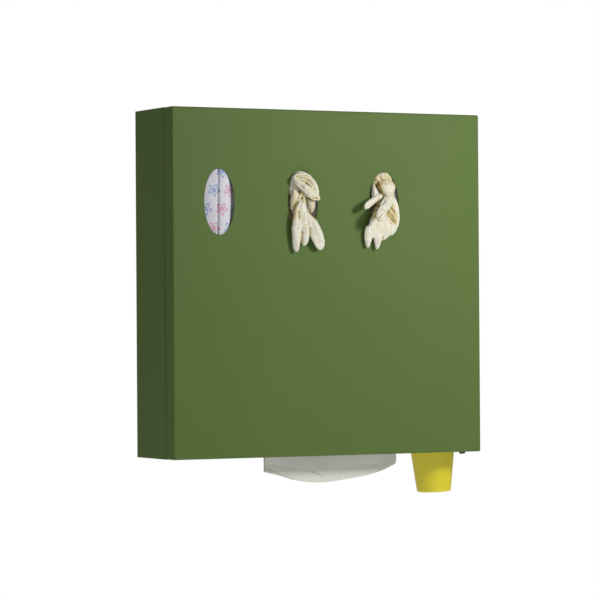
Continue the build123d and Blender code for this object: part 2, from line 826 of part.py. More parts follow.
def make_latch_nut():
    """Hexagon nut that clamps the latch to the door's edge."""
    outline = RegularPolygon(latch_nut_width / 2, 6, major_radius=False)
    outline -= Circle(barrel_radius + running_clearance)
    return drawn(plan(bottom + door_sheet), Pos(latch_x, latch_y) * outline, latch_nut_height)


def make_latch_spindle():
    """Knob with a finger grip, its spindle, and the square end that turns the cam."""
    knob_top = bottom - barrel_flange_height - weld_gap
    knob_low = knob_top - knob_height
    disc_height = knob_height / 2
    spindle = disc(latch_x, latch_y, knob_radius, knob_top - disc_height, knob_top)
    spindle = chamfer(spindle.edges().group_by(Axis.Z)[0], disc_height / 3)
    place = Pos(latch_x, latch_y)
    grip = place * RectangleRounded(2 * knob_radius - 1, knob_grip, knob_grip / 2 - 0.1)
    spindle += drawn(plan(knob_low), grip, knob_height)
    spindle += disc(latch_x, latch_y, spindle_radius, knob_top, cam_low_face - weld_gap)
    square = place * Rectangle(spindle_square, spindle_square)
    spindle += drawn(plan(cam_low_face - weld_gap), square, cam_sheet + weld_gap)
    hole_low = cam_low_face + cam_sheet - cam_screw_length - weld_gap
    return spindle - disc(latch_x, latch_y, cam_screw_radius, hole_low, cam_low_face + cam_sheet)


def make_latch_cam():
    """Cam arm with a turned-down end, pointing left while the door is unlocked."""
    middle = cam_low_face + cam_sheet / 2
    points = [(latch_x, middle), (latch_x - cam_reach, middle), (latch_x - cam_reach, cam_low)]
    arm = folded(front_on(latch_y + cam_width / 2), points, cam_sheet, cam_width, cam_sheet / 2)
    arm += disc(latch_x, latch_y, cam_hub_radius, cam_low_face, cam_low_face + cam_sheet)
    size = spindle_square + 2 * running_clearance
    hole = Pos(latch_x, latch_y) * Rectangle(size, size)
    return arm - drawn(plan(cam_low_face - 1), hole, cam_sheet + 2)


def make_cam_screw():
    """Screw that holds the cam on the spindle's square end."""
    low = cam_low_face + cam_sheet
    head = disc(latch_x, latch_y, screw_head_radius, low, low + screw_head_height)
    rod = cam_screw_radius - running_clearance
    return head + disc(latch_x, latch_y, rod, low - cam_screw_length, low)


# The glove in the middle slot: a band twisted across, then a palm and three fingers
middle_glove_lobes = [
    [(-1, -4, -3, 0, 0), (-1, 6, -3, 16, 6), (-1, 22, 0, 19, 9), (-1, 36, 0, 13, 6), (-1, 46, -2, 0, 0)],
    [(-26, 41, 6, 0, 0), (-17, 36, 9, 9, 5), (2, 24, 11, 13, 7), (18, 12, 12, 11, 6), (27, 4, 11, 0, 0)],
    [(-3, 26, 8, 0, 0), (-3, 8, 10, 17, 6), (-4, -14, 10, 19, 6), (-4, -36, 9, 19, 5), (-4, -52, 8, 0, 0)],
    [(-15, -22, 8, 0, 0), (-18, -38, 8, 7, 4), (-18, -62, 7, 5.5, 3.5), (-18, -79, 7, 0, 0)],
    [(-4, -28, 9, 0, 0), (-4, -42, 9, 6, 3.5), (-4, -58, 9, 5, 3.5), (-4, -68, 9, 0, 0)],
    [(6, -16, 10, 0, 0), (12, -32, 10, 8, 4), (22, -58, 9, 7.5, 4), (30, -77, 9, 0, 0)],
]

# The glove in the right slot: a wad, a fan of fingers, a thumb and one finger curled in front
right_glove_lobes = [
    [(0, -2, -3, 0, 0), (0, 8, -3, 15, 6), (0, 24, 0, 18, 9), (0, 38, 0, 12, 6), (0, 48, -2, 0, 0)],
    [(2, 30, 8, 0, 0), (3, 10, 11, 17, 7), (2, -14, 11, 20, 6), (-6, -34, 9, 19, 5), (-8, -52, 8, 0, 0)],
    [(-6, 8, 12, 0, 0), (-16, 7, 15, 5, 4), (-34, -1, 20, 5, 4), (-47, -7, 23, 0, 0)],
    [(-1, 14, 12, 0, 0), (-7, 4, 20, 6, 4), (-19, -14, 30, 6.5, 5), (-31, -33, 38, 0, 0)],
    [(-16, -22, 8, 0, 0), (-26, -38, 8, 10, 4), (-33, -58, 7, 6.5, 3.5), (-35, -70, 7, 0, 0)],
    [(-10, -28, 9, 0, 0), (-15, -48, 8, 8, 4), (-18, -62, 7, 5, 3), (-18, -73, 7, 0, 0)],
    [(4, -24, 10, 0, 0), (5, -38, 9, 10, 4), (6, -48, 8, 7, 3), (7, -56, 8, 0, 0)],
]

parts = {
    "body_shell": make_body_shell(),
    "top_panel": make_top_panel(),
    "bottom_panel": make_bottom_panel(),
    "shelf": make_shelf(),
    "towel_divider_left": make_towel_divider(-1),
    "towel_divider_right": make_towel_divider(1),
    "towel_front_plate": make_towel_front_plate(),
    "towel_stack": make_towel_stack(),
    "towel_leaf_front": make_towel_leaf_front(),
    "towel_leaf_rear": make_towel_leaf_rear(),
    "cup_tube": make_cup_tube(),
    "cup_collar": make_cup_collar(),
    "cup_lowest": cup_place(0) * cup_shape(),
    "cup_stack": make_cup_stack(),
    "tube_clip_lower": make_tube_clip(clip_levels[0]),
    "tube_clip_upper": make_tube_clip(clip_levels[1]),
    "hinge_bracket_lower": make_hinge_bracket(),
    "hinge_bracket_upper": mirror(make_hinge_bracket(), about=Plane.XY),
    "hinge_pins": make_hinge_pins(),
    "hinge_bushes": make_hinge_bushes(),
    "catch_body": make_catch_body(),
    "catch_magnet": make_catch_magnet(),
    "catch_screws": make_catch_screws(),
    "strike_bracket": make_strike_bracket(),
    "door_buffers": make_door_buffers(),
    "door_panel": make_door_panel(),
    "mask_holder": make_holder(slot_middles[0], mask_box_size, holder_window_margin),
    "glove_holder_middle": make_holder(slot_middles[1], glove_box_size, holder_window_margin),
    "glove_holder_right": make_holder(slot_middles[2], glove_box_size, holder_window_margin),
    "weld_studs": make_weld_studs(),
    "stud_nuts": make_stud_nuts(),
    "mask_box": make_card_box(slot_middles[0], mask_box_size, mask_window),
    "glove_box_middle": make_card_box(slot_middles[1], glove_box_size, glove_window),
    "glove_box_right": make_card_box(slot_middles[2], glove_box_size, glove_window),
    "mask_stack": make_mask_stack(slot_middles[0]),
    "glove_pack_middle": make_glove_pack(slot_middles[1]),
    "glove_pack_right": make_glove_pack(slot_middles[2]),
    "glove_middle": make_glove(slot_middles[1], middle_glove_lobes),
    "glove_right": make_glove(slot_middles[2], right_glove_lobes),
    "latch_housing": make_latch_housing(),
    "latch_nut": make_latch_nut(),
    "latch_spindle": make_latch_spindle(),
    "latch_cam": make_latch_cam(),
    "cam_screw": make_cam_screw(),
}

os.makedirs("parts", exist_ok=True)
for name, shape in parts.items():
    export_step(shape, f"parts/{name}.step")
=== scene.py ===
"""Finishes, soft contents and studio of a wall dispenser cabinet for masks, gloves, towels and cups."""

import json
import math

import bmesh
import bpy
import numpy as np
from mathutils import Matrix, Vector


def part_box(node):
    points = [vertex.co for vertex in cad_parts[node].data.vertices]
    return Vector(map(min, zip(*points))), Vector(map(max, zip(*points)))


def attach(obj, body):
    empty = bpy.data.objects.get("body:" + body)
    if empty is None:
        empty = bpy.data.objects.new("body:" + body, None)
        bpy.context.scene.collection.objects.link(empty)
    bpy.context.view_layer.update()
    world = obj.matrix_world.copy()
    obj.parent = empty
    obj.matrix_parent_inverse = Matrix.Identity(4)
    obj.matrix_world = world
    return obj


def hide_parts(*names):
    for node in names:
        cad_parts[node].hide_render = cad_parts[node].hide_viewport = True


bl_info = {
    "name": "Wall dispenser cabinet",
    "version": (1, 0, 0),
    "blender": (4, 5, 0),
    "location": "3D View > Sidebar > Cabinet",
    "description": "Builds the finishes, the soft contents and the studio of a wall dispenser cabinet",
    "category": "Object",
}

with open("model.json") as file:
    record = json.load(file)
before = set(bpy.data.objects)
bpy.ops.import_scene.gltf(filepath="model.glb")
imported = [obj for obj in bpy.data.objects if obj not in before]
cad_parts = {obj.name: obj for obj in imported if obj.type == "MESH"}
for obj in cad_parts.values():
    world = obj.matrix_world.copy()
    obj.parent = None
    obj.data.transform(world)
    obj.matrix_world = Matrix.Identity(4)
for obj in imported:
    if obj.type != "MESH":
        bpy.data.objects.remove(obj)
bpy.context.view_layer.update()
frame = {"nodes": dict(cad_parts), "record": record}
MM = 0.001

# Places on the cabinet
DOOR_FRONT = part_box("door_panel")[0].y
CABINET_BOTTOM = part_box("body_shell")[0].z


def middle(node):
    """Centre of a CAD node's box."""
    low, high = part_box(node)
    return (low + high) / 2


# Colours and numbers

def linear(code):
    """Linear colour of an sRGB hex code: below 0.04045 a straight line, above it a power of 2.4."""
    values = [int(code[i:i + 2], 16) / 255 for i in (0, 2, 4)]
    return [v / 12.92 if v <= 0.04045 else ((v + 0.055) / 1.055) ** 2.4 for v in values] + [1.0]


def through(rows, count):
    """Smooth curve through rows of numbers at even steps: a Catmull-Rom cubic between each two rows,
    with the end rows mirrored outwards."""
    rows = np.asarray(rows, float)
    padded = np.vstack([2 * rows[0] - rows[1], rows, 2 * rows[-1] - rows[-2]])
    t = np.linspace(0, len(rows) - 1, count)
    i = np.minimum(t.astype(int), len(rows) - 2)
    f = (t - i)[:, None]
    a, b, c, d = (padded[i + k] for k in range(4))
    square, cube = 2 * a - 5 * b + 4 * c - d, 3 * b - 3 * c + d - a
    return 0.5 * (2 * b + (c - a) * f + square * f**2 + cube * f**3)


def crumple(points, size, seed):
    """Crumpled height from 0 to 1, sharp along its ridges: 1 - |2n - 1|, where n blends seeded random
    numbers at the corners of cells of the size by 3f^2 - 2f^3 of the place f in the cell."""
    table = np.random.default_rng(seed).random((32, 32, 32))
    place = points / size
    cell = np.floor(place).astype(int)
    f = place - cell
    f = f * f * (3 - 2 * f)
    n = np.zeros(len(points))
    for corner in np.ndindex(2, 2, 2):
        share = np.prod(np.where(corner, f, 1 - f), axis=1)
        n += share * table[tuple(((cell + corner) % 32).T)]
    return 1 - np.abs(2 * n - 1)


# Meshes

def quads(rows, cols, wrap_cols=False):
    """Faces of a grid of rows by cols points. Wrapped columns join their end to their start."""
    r, c = np.meshgrid(
        np.arange(rows - 1), np.arange(cols if wrap_cols else cols - 1), indexing="ij")
    c_next = (c + 1) % cols
    corners = [r * cols + c, r * cols + c_next, (r + 1) * cols + c_next, (r + 1) * cols + c]
    return np.stack(corners, -1).reshape(-1, 4)


def joined(parts):
    """Points and faces of all parts, each given as its points and faces, as one mesh."""
    points, faces = zip(*parts)
    starts = np.cumsum([0] + [len(p) for p in points])
    return np.concatenate(points), np.concatenate([f + start for f, start in zip(faces, starts)])


def make_mesh(name, points, faces, closed=False, uv=None):
    """Mesh from arrays in metres. A closed one has its doubled points, which lie under 0.02 mm apart,
    merged and its faces turned outwards. uv gives each point its place on the flat sheet."""
    mesh = bpy.data.meshes.new(name)
    mesh.from_pydata(np.asarray(points, float), [], np.asarray(faces, int))
    if uv is not None:
        layer = mesh.uv_layers.new(name="flat")
        index = np.zeros(len(mesh.loops), np.int32)
        mesh.loops.foreach_get("vertex_index", index)
        layer.data.foreach_set("uv", np.asarray(uv, np.float32)[index].ravel())
    if closed:
        shell = bmesh.new()
        shell.from_mesh(mesh)
        bmesh.ops.remove_doubles(shell, verts=shell.verts, dist=0.02 * MM)
        bmesh.ops.recalc_face_normals(shell, faces=shell.faces)
        shell.to_mesh(mesh)
        shell.free()
    mesh.shade_smooth()
    mesh.update()
    return mesh


def points_of(mesh):
    """Points and normals of a mesh as arrays."""
    arrays = []
    for source, key in ((mesh.vertices, "co"), (mesh.vertex_normals, "vector")):
        values = np.zeros(3 * len(mesh.vertices), np.float32)
        source.foreach_get(key, values)
        arrays.append(values.reshape(-1, 3).astype(float))
    return arrays


def set_points(mesh, points):
    """Write the points back."""
    mesh.vertices.foreach_set("co", points.astype(np.float32).ravel())
    mesh.update()


def set_fold_shade(mesh, fold):
    """Write how much painted shade each point gets, from 0 to 1, mostly in its folds. Latex and towel
    paper read it.
    """
    layer = mesh.attributes.new("fold", "FLOAT", "POINT")
    layer.data.foreach_set("value", np.ravel(fold).astype(np.float32))


def relaxed(mesh, points, rounds):
    """Points moved halfway to the mean of their neighbours, rounds times."""
    edges = np.zeros(2 * len(mesh.edges), np.int32)
    mesh.edges.foreach_get("vertices", edges)
    a, b = edges.reshape(-1, 2).T
    size = len(points)
    count = np.maximum(np.bincount(a, minlength=size) + np.bincount(b, minlength=size), 1)
    for _ in range(rounds):
        total = [np.bincount(a, p[b], size) + np.bincount(b, p[a], size) for p in points.T]
        points = points + 0.5 * (np.stack(total, -1) / count[:, None] - points)
    return points


def block_points(low, high, radius, step):
    """Rounded block: points of a box's six faces on a grid, pulled onto a sphere of the radius round
    the nearest point of the box that lies the radius further in."""
    low, high = np.array(low, float), np.array(high, float)
    grids = [np.linspace(a, b, max(3, round((b - a) / step)) + 1) for a, b in zip(low, high)]
    parts = []
    for axis in range(3):
        i, j = [k for k in range(3) if k != axis]
        u, v = np.meshgrid(grids[i], grids[j], indexing="ij")
        for side in (low[axis], high[axis]):
            face = np.zeros((u.size, 3))
            face[:, i], face[:, j], face[:, axis] = u.ravel(), v.ravel(), side
            parts.append((face, quads(*u.shape)))
    points, faces = joined(parts)
    core = np.clip(points, low + radius, high - radius)
    out = points - core
    out /= np.maximum(np.linalg.norm(out, axis=1), 1e-9)[:, None]
    return core + radius * out, faces


# Objects

def new_object(name, data):
    """Object at the scene's origin."""
    item = bpy.data.objects.new(name, data)
    bpy.context.scene.collection.objects.link(item)
    return item


def place_piece(mesh, body, material, replaces=()):
    """Piece of the cabinet, named as its mesh, that rides on a body and stands for CAD nodes."""
    piece = new_object(mesh.name, mesh)
    mesh.materials.append(material)
    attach(piece, body)
    if replaces:
        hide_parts(*replaces)
    return piece


def baked(piece, kind, **settings):
    """Apply one modifier and give back the resulting mesh, which the piece then has."""
    modifier = piece.modifiers.new(kind.title(), kind)
    for key, value in settings.items():
        setattr(modifier, key, value)
    bpy.context.view_layer.update()
    evaluated = piece.evaluated_get(bpy.context.evaluated_depsgraph_get())
    mesh = bpy.data.meshes.new_from_object(evaluated)
    piece.modifiers.clear()
    old = piece.data
    piece.data = mesh
    mesh.name = piece.name
    bpy.data.meshes.remove(old)
    return mesh


# Nodes

def join(tree, node, links):
    """Give a node's inputs their values, by name or, in a list, in order. One that comes from a
    socket is linked to it, and one that comes from a node to the node's first enabled output."""
    for key, value in links.items() if isinstance(links, dict) else enumerate(links):
        if isinstance(value, bpy.types.Node):
            value = next(output for output in value.outputs if output.enabled)
        if isinstance(value, bpy.types.NodeSocket):
            tree.links.new(value, node.inputs[key])
        else:
            node.inputs[key].default_value = value


def add(tree, kind, links=None, **settings):
    """Add a shader node with its links and settings. Its kind is its type without ShaderNode."""
    node = tree.nodes.new("ShaderNode" + kind)
    for key, value in settings.items():
        setattr(node, key, value)
    join(tree, node, links or {})
    return node


def new_material(name, values):
    """Material with one Principled shader, whose inputs take the values, and a point's place on the
    object for the patterns."""
    material = bpy.data.materials.new(name)
    material.use_nodes = True
    tree = material.node_tree
    tree.nodes.clear()
    shader = add(tree, "BsdfPrincipled", values)
    add(tree, "OutputMaterial", {"Surface": shader})
    return material, tree, shader, add(tree, "TexCoord").outputs["Object"]


def drifting(tree, place, size, detail, low, high):
    """Noise with clouds of a size, and the colour that drifts with it between two."""
    noise = add(tree, "TexNoise", {"Vector": place, "Scale": 1 / size, "Detail": detail})
    return noise, add(tree, "Mix", {"Factor": noise, "A": low, "B": high}, data_type="RGBA")


def powder_coat(colours):
    """Steel with a satin powder coat: the melted powder leaves a fine orange peel, drawn at 2 mm so
    that it shows, and the colour wavers a little over the sheet."""
    material, tree, shader, place = new_material(
        "satin powder-coated steel", {"Roughness": 0.55, "IOR": 1.5, "Specular IOR Level": 0.1})
    _, tone = drifting(tree, place, 111.1 * MM, 3.0, colours.paint_low, colours.paint_high)
    peel = add(tree, "TexNoise", {"Vector": place, "Scale": 1 / (2 * MM), "Detail": 1.0})
    bump = add(tree, "Bump", {"Strength": 0.22, "Distance": 0.06 * MM, "Height": peel})
    join(tree, shader, {"Base Color": tone, "Normal": bump})
    return material


def brushed_steel(colours):
    """Brushed stainless sheet: grinding scratches along X, 0.5 mm apart so that they show, which
    stretch its reflections."""
    material, tree, shader, place = new_material(
        "brushed stainless steel", {"Metallic": 1.0, "Base Color": colours.stainless})
    scratch = 1 / (0.5 * MM)
    long = add(tree, "Mapping", {"Vector": place, "Scale": (12.0, scratch, scratch)})
    lines = add(tree, "TexNoise", {"Vector": long, "Scale": 1.0, "Detail": 4.0})
    rough = add(tree, "MapRange", {"Value": lines, "To Min": 0.28, "To Max": 0.46})
    bump = add(tree, "Bump", {"Strength": 0.15, "Distance": 0.02 * MM, "Height": lines})
    join(tree, shader, {"Roughness": rough, "Normal": bump})
    return material


def zinc_plate(colours):
    """Zinc-plated steel: bright and bluish, with faint straw-coloured clouds from the chromate dip."""
    material, tree, shader, place = new_material("zinc-plated steel", {"Metallic": 1.0})
    cloud, tone = drifting(tree, place, 8.333 * MM, 3.0, colours.zinc, colours.zinc_straw)
    rough = add(tree, "MapRange", {"Value": cloud, "To Min": 0.25, "To Max": 0.42})
    join(tree, shader, {"Base Color": tone, "Roughness": rough})
    return material


# The boxes' printed band goes round them behind their fronts, at one height
BAND_MIDDLE = 52 * MM
BAND_HALF = 14 * MM
BAND_FRONT = -120 * MM


def coated_card(colours):
    """Clay-coated carton: smooth white card with a lilac cast, faint fibres, and one printed band of
    plain colour round each box."""
    material, tree, shader, place = new_material(
        "clay-coated card", {"Roughness": 0.55, "IOR": 1.5})
    fibre, card = drifting(tree, place, 1.5 * MM, 4.0, colours.card_low, colours.card_high)
    split = add(tree, "SeparateXYZ", {"Vector": place})
    from_band = add(tree, "Math", [split.outputs["Z"], BAND_MIDDLE], operation="SUBTRACT")
    away = add(tree, "Math", [from_band], operation="ABSOLUTE")
    band = add(tree, "Math", [away, BAND_HALF], operation="LESS_THAN")
    deep = add(tree, "Math", [split.outputs["Y"], BAND_FRONT], operation="GREATER_THAN")
    printed = add(tree, "Math", [band, deep], operation="MULTIPLY")
    tone = add(tree, "Mix", {"Factor": printed, "A": card, "B": colours.card_band}, data_type="RGBA")
    bump = add(tree, "Bump", {"Strength": 0.1, "Distance": 0.03 * MM, "Height": fibre})
    join(tree, shader, {"Base Color": tone, "Normal": bump})
    return material


def fine_grained(name, base, roughness, clouds=None):
    """Surface pressed in a spark-eroded mould, as on plastic, nylon and rubber: an even colour with
    a fine matt grain. Clouds of a second colour may drift over it."""
    material, tree, shader, place = new_material(
        name, {"Base Color": base, "Roughness": roughness, "IOR": 1.49})
    if clouds is not None:
        _, tone = drifting(tree, place, 33.33 * MM, 2.0, base, clouds)
        join(tree, shader, {"Base Color": tone})
    grain = add(tree, "TexNoise", {"Vector": place, "Scale": 1 / (0.8 * MM), "Detail": 1.0})
    bump = add(tree, "Bump", {"Strength": 0.12, "Distance": 0.03 * MM, "Height": grain})
    join(tree, shader, {"Normal": bump})
    return material


def ferrite(colours):
    """Sintered ferrite magnet: dark grey, dull and finely pitted."""
    return fine_grained("sintered ferrite", colours.ferrite, 0.6, colours.ferrite_high)


def cup_plastic(colours):
    """Thermoformed polystyrene: thin, smooth and a little translucent, with a faint mottle where the
    sheet was drawn thinner or thicker."""
    material, tree, shader, place = new_material("thermoformed polystyrene", {
        "Roughness": 0.38, "IOR": 1.55, "Subsurface Weight": 0.12, "Subsurface Scale": 0.002})
    _, tone = drifting(tree, place, 16.67 * MM, 2.0, colours.cup_low, colours.cup_high)
    join(tree, shader, {"Base Color": tone})
    return material


def latex(colours, pack_shade=0.0):
    """Powdered natural latex: thin cream-coloured rubber that lets some light through. Its folds are
    painted golden brown: partly the deeper colour of doubled latex, partly painted shade that turns
    the deepest creases dark brown. Fine wrinkles 2.2 mm apart dull its shine. The last argument paints
    shade over a pack hidden in its box, mixing its colour by that share towards the dark brown."""
    material, tree, shader, place = new_material(
        "powdered natural latex" + (" pack" if pack_shade else ""),
        {"Roughness": 0.5, "IOR": 1.52, "Subsurface Weight": 0.22, "Subsurface Scale": 0.0025,
         "Subsurface Radius": (1.0, 0.75, 0.4)})
    fold = add(tree, "Attribute", attribute_name="fold").outputs["Fac"]
    mottle = add(tree, "TexNoise", {"Vector": place, "Scale": 1 / (9 * MM), "Detail": 3.0})
    spread = add(tree, "MapRange", {
        "Value": mottle, "From Min": 0.4, "From Max": 0.75, "To Min": 0.0, "To Max": 0.14})
    deep = add(tree, "Math", [fold, spread], operation="ADD", use_clamp=True)
    # Painted shade: cream on open latex, golden at 0.45 and dark brown at the bottom of the creases
    tone = add(tree, "ValToRGB", {"Fac": deep})
    stops = tone.color_ramp.elements
    stops[0].color = colours.latex
    stops[1].color = colours.latex_crease_shade
    warm = stops.new(0.45)
    warm.color = colours.latex_layers_and_shade
    # A hidden pack gets painted shade: its whole colour is mixed towards the dark brown
    if pack_shade:
        tone = add(tree, "Mix", {"Factor": pack_shade, "A": tone, "B": colours.latex_crease_shade}, data_type="RGBA")
    skin = add(tree, "TexNoise", {"Vector": place, "Scale": 1 / (2.2 * MM), "Detail": 4.0})
    bump = add(tree, "Bump", {"Strength": 0.3, "Distance": 0.3 * MM, "Height": skin})
    join(tree, shader, {"Base Color": tone, "Normal": bump})
    return material


WAVE_LENGTH = 0.314  # of a wave texture at scale 1


def towel_paper(colours):
    """Embossed folded towel paper: off-white recycled pulp, pressed with a fine diagonal pattern
    2.8 mm apart, with flecks of fibre."""
    material, tree, shader, place = new_material(
        "embossed towel paper", {"Roughness": 0.9, "IOR": 1.45})
    flat = add(tree, "UVMap", uv_map="flat")
    lines = []
    for turn in (35.0, -35.0):
        turned = add(tree, "Mapping", {"Vector": flat, "Rotation": (0.0, 0.0, math.radians(turn))})
        wave = add(tree, "TexWave", {
            "Vector": turned, "Scale": WAVE_LENGTH / (2.8 * MM), "Distortion": 0.4, "Detail": 1.0},
            wave_type="BANDS", bands_direction="X")
        lines.append(wave.outputs["Fac"])
    press = add(tree, "Math", lines, operation="MULTIPLY")
    fibre, clean = drifting(tree, place, 1.2 * MM, 5.0, colours.towel_low, colours.towel_high)
    relief = add(tree, "Math", [fibre, 0.5, press], operation="MULTIPLY_ADD")
    fold = add(tree, "Attribute", attribute_name="fold").outputs["Fac"]
    # Painted shade: the colour darkens by the fold value, between the pile's layers, along the front
    # leaf's edge and in pressed grooves
    tone = add(tree, "Mix", {"Factor": fold, "A": clean, "B": colours.towel_fold_shade}, data_type="RGBA")
    bump = add(tree, "Bump", {"Strength": 0.5, "Distance": 0.25 * MM, "Height": relief})
    join(tree, shader, {"Base Color": tone, "Normal": bump})
    return material


def flower_field(tree, flat, right, up, cell, radius):
    """Outlined flowers in a grid of cells, one of them right and up: 1 on the line
    r = R (0.73 + 0.27 cos(5a + 0.9)) round each cell's middle and on the ring r = 0.22 R, and 0
    further than 1.7 mm from both."""
    half = (cell[0] / 2, cell[1] / 2, 1.0)
    moved = add(tree, "VectorMath", [flat, (right, up, 0.0)], operation="SUBTRACT")
    centred = add(tree, "VectorMath", [moved, half, [-v for v in half]], operation="WRAP")
    split = add(tree, "SeparateXYZ", {"Vector": centred})
    turn = add(tree, "Math", [split.outputs["Y"], split.outputs["X"]], operation="ARCTAN2")
    five = add(tree, "Math", [turn, 5.0, 0.9], operation="MULTIPLY_ADD")
    petal = add(tree, "Math", [five], operation="COSINE")
    edge = add(tree, "Math", [petal, 0.27 * radius, 0.73 * radius], operation="MULTIPLY_ADD")
    reach = add(tree, "VectorMath", [centred], operation="LENGTH")
    rings = []
    for target in (edge, 0.22 * radius):
        gap = add(tree, "Math", [reach, target], operation="SUBTRACT")
        near = add(tree, "Math", [gap], operation="ABSOLUTE")
        rings.append(add(tree, "MapRange", {
            "Value": near, "From Min": 0.7 * MM, "From Max": 1.7 * MM, "To Min": 1.0, "To Max": 0.0}))
    return add(tree, "Math", rings, operation="MAXIMUM")


# Flowers right and up of the box's middle in millimetres, repeated at the cell's size
FLOWER_CELL = (52 * MM, 116 * MM)
FLOWER_RADIUS = 9 * MM
BLUE_FLOWERS = ((-7.5, 18), (18.5, -40), (31.5, -11), (5.5, 47))
PINK_FLOWERS = ((18.5, 18), (-7.5, -40), (5.5, -11), (31.5, 47))


def mask_cloth(colours):
    """Printed spunbond nonwoven: soft white fibres pressed with a grid of tiny bond points, drawn
    1.6 mm apart so that they show, and rows of plain flower outlines in pale blue and pink."""
    material, tree, shader, place = new_material("printed spunbond nonwoven", {
        "Roughness": 0.85, "IOR": 1.45, "Subsurface Weight": 0.15, "Subsurface Scale": 0.001,
        "Sheen Weight": 0.15})
    flat = add(tree, "UVMap", uv_map="flat")
    bonds = add(tree, "TexVoronoi", {"Vector": flat, "Scale": 1 / (1.6 * MM), "Randomness": 0.25},
                feature="F1")
    fibre = add(tree, "TexNoise", {"Vector": place, "Scale": 1 / (1.0 * MM), "Detail": 6.0})
    _, tone = drifting(tree, place, 14 * MM, 2.0, colours.mask_low, colours.mask_high)
    for ink, places in ((colours.print_blue, BLUE_FLOWERS), (colours.print_pink, PINK_FLOWERS)):
        fields = [flower_field(tree, flat, right * MM, up * MM, FLOWER_CELL, FLOWER_RADIUS)
                  for right, up in places]
        drawn = fields[0]
        for field in fields[1:]:
            drawn = add(tree, "Math", [drawn, field], operation="MAXIMUM")
        faded = add(tree, "Math", [drawn, 0.7], operation="MULTIPLY")
        tone = add(tree, "Mix", {"Factor": faded, "A": tone, "B": ink}, data_type="RGBA")
    relief = add(tree, "Math", [fibre, 0.35, bonds], operation="MULTIPLY_ADD")
    bump = add(tree, "Bump", {"Strength": 0.4, "Distance": 0.2 * MM, "Height": relief})
    join(tree, shader, {"Base Color": tone, "Normal": bump})
    return material


# Sizes and colours that a user would change

LENGTH = {"subtype": "DISTANCE", "unit": "LENGTH"}
POWER = {"subtype": "POWER", "unit": "POWER"}


def colour(name, code, description):
    """Colour property whose default is an sRGB hex code."""
    return bpy.props.FloatVectorProperty(
        name=name, description=description, subtype="COLOR", size=4, min=0, max=1, default=linear(code))


def number(name, description, default, low, high, **kind):
    """Property for one number of a kind, such as a length in metres, from low to high."""
    return bpy.props.FloatProperty(
        name=name, description=description, default=default, min=low, max=high, **kind)


class CabinetColours(bpy.types.PropertyGroup):
    """Colours of the cabinet and its contents."""

    paint_low: colour("Paint, darker", "596E39", "Powder coat where it looks darkest")
    paint_high: colour("Paint, lighter", "5D723D", "Powder coat where it looks lightest")
    stainless: colour("Stainless", "B4B4B1", "Brushed sheet inside the cabinet")
    zinc: colour("Zinc", "C6CACE", "Plated fasteners and brackets")
    zinc_straw: colour("Zinc, straw", "CFC9B4", "Straw-coloured clouds on the plating")
    card_low: colour("Card, darker", "CBC9D4", "Carton of the boxes")
    card_high: colour("Card, lighter", "DAD8E2", "Carton of the boxes")
    card_band: colour("Card band", "8FA9C4", "Printed band round the boxes")
    latex: colour("Latex", "DEDBCC", "Single layer of glove")
    # The next two paint shade into the gloves' folds: golden where latex lies doubled and in shade,
    # dark brown at the bottom of the creases
    latex_layers_and_shade: colour("Latex fold", "CFC08A", "Two or three layers")
    latex_crease_shade: colour("Latex deep", "8C7234", "Bottom of the folds")
    towel_low: colour("Towel, darker", "E0DED6", "Towel paper between the fibres")
    towel_high: colour("Towel, lighter", "EDECE6", "Towel paper fibres")
    # Painted shade in the towels' gaps, edges and pressed grooves
    towel_fold_shade: colour("Towel fold", "A9A58D", "Pressed lines of the towels")
    mask_low: colour("Mask, darker", "CFCDD6", "Mask cloth")
    mask_high: colour("Mask, lighter", "DEDDE2", "Mask cloth")
    print_blue: colour("Blue print", "4F7FC0", "Flower outlines")
    print_pink: colour("Pink print", "D0608C", "Flower outlines")
    cup_low: colour("Cup, darker", "DBCA1C", "Yellow cup")
    cup_high: colour("Cup, lighter", "E6D727", "Yellow cup")
    ferrite: colour("Ferrite", "2C2C2E", "Magnet")
    ferrite_high: colour("Ferrite, lighter", "3A3A3C", "Magnet")
    white_plastic: colour("White plastic", "D9DBD8", "Cup tube, collar and catch")
    nylon: colour("Nylon", "D8D4C4", "Hinge bushes")
    knob: colour("Knob", "3E4A30", "Latch knob")
    rubber: colour("Rubber", "1F1F1F", "Door buffers")


class CabinetSizes(bpy.types.PropertyGroup):
    """Sizes of the soft contents."""

    towel_layer: number(
        "Towel layer", "Height of one folded towel in the pile", 3.3 * MM, 1 * MM, 12 * MM, **LENGTH)
    rib_pitch: number(
        "Cup rib pitch", "Distance between the cup's fine ribs", 2.6 * MM, 1 * MM, 10 * MM, **LENGTH)
    rib_height: number(
        "Cup rib height", "How far the cup's ribs stand out", 0.09 * MM, 0, 1 * MM, **LENGTH)
    glove_voxel: number(
        "Glove detail", "Size of the cells that fuse a glove", 0.8 * MM, 0.4 * MM, 3 * MM, **LENGTH)


class CabinetStudio(bpy.types.PropertyGroup):
    """Light and camera."""

    key_power: number("Key light", "Power of the soft box at the upper right", 9.3, 0, 1000, **POWER)
    fill_power: number("Fill light", "Power of the wide light before the door", 1.5, 0, 1000, **POWER)
    ambient: number("Ambient", "Brightness of the room", 0.27, 0, 2)
    floor_drop: number("Floor", "Floor below the cabinet's middle", 0.9, 0.4, 3, **LENGTH)


# Metalwork, card and plastic parts keep their CAD shape

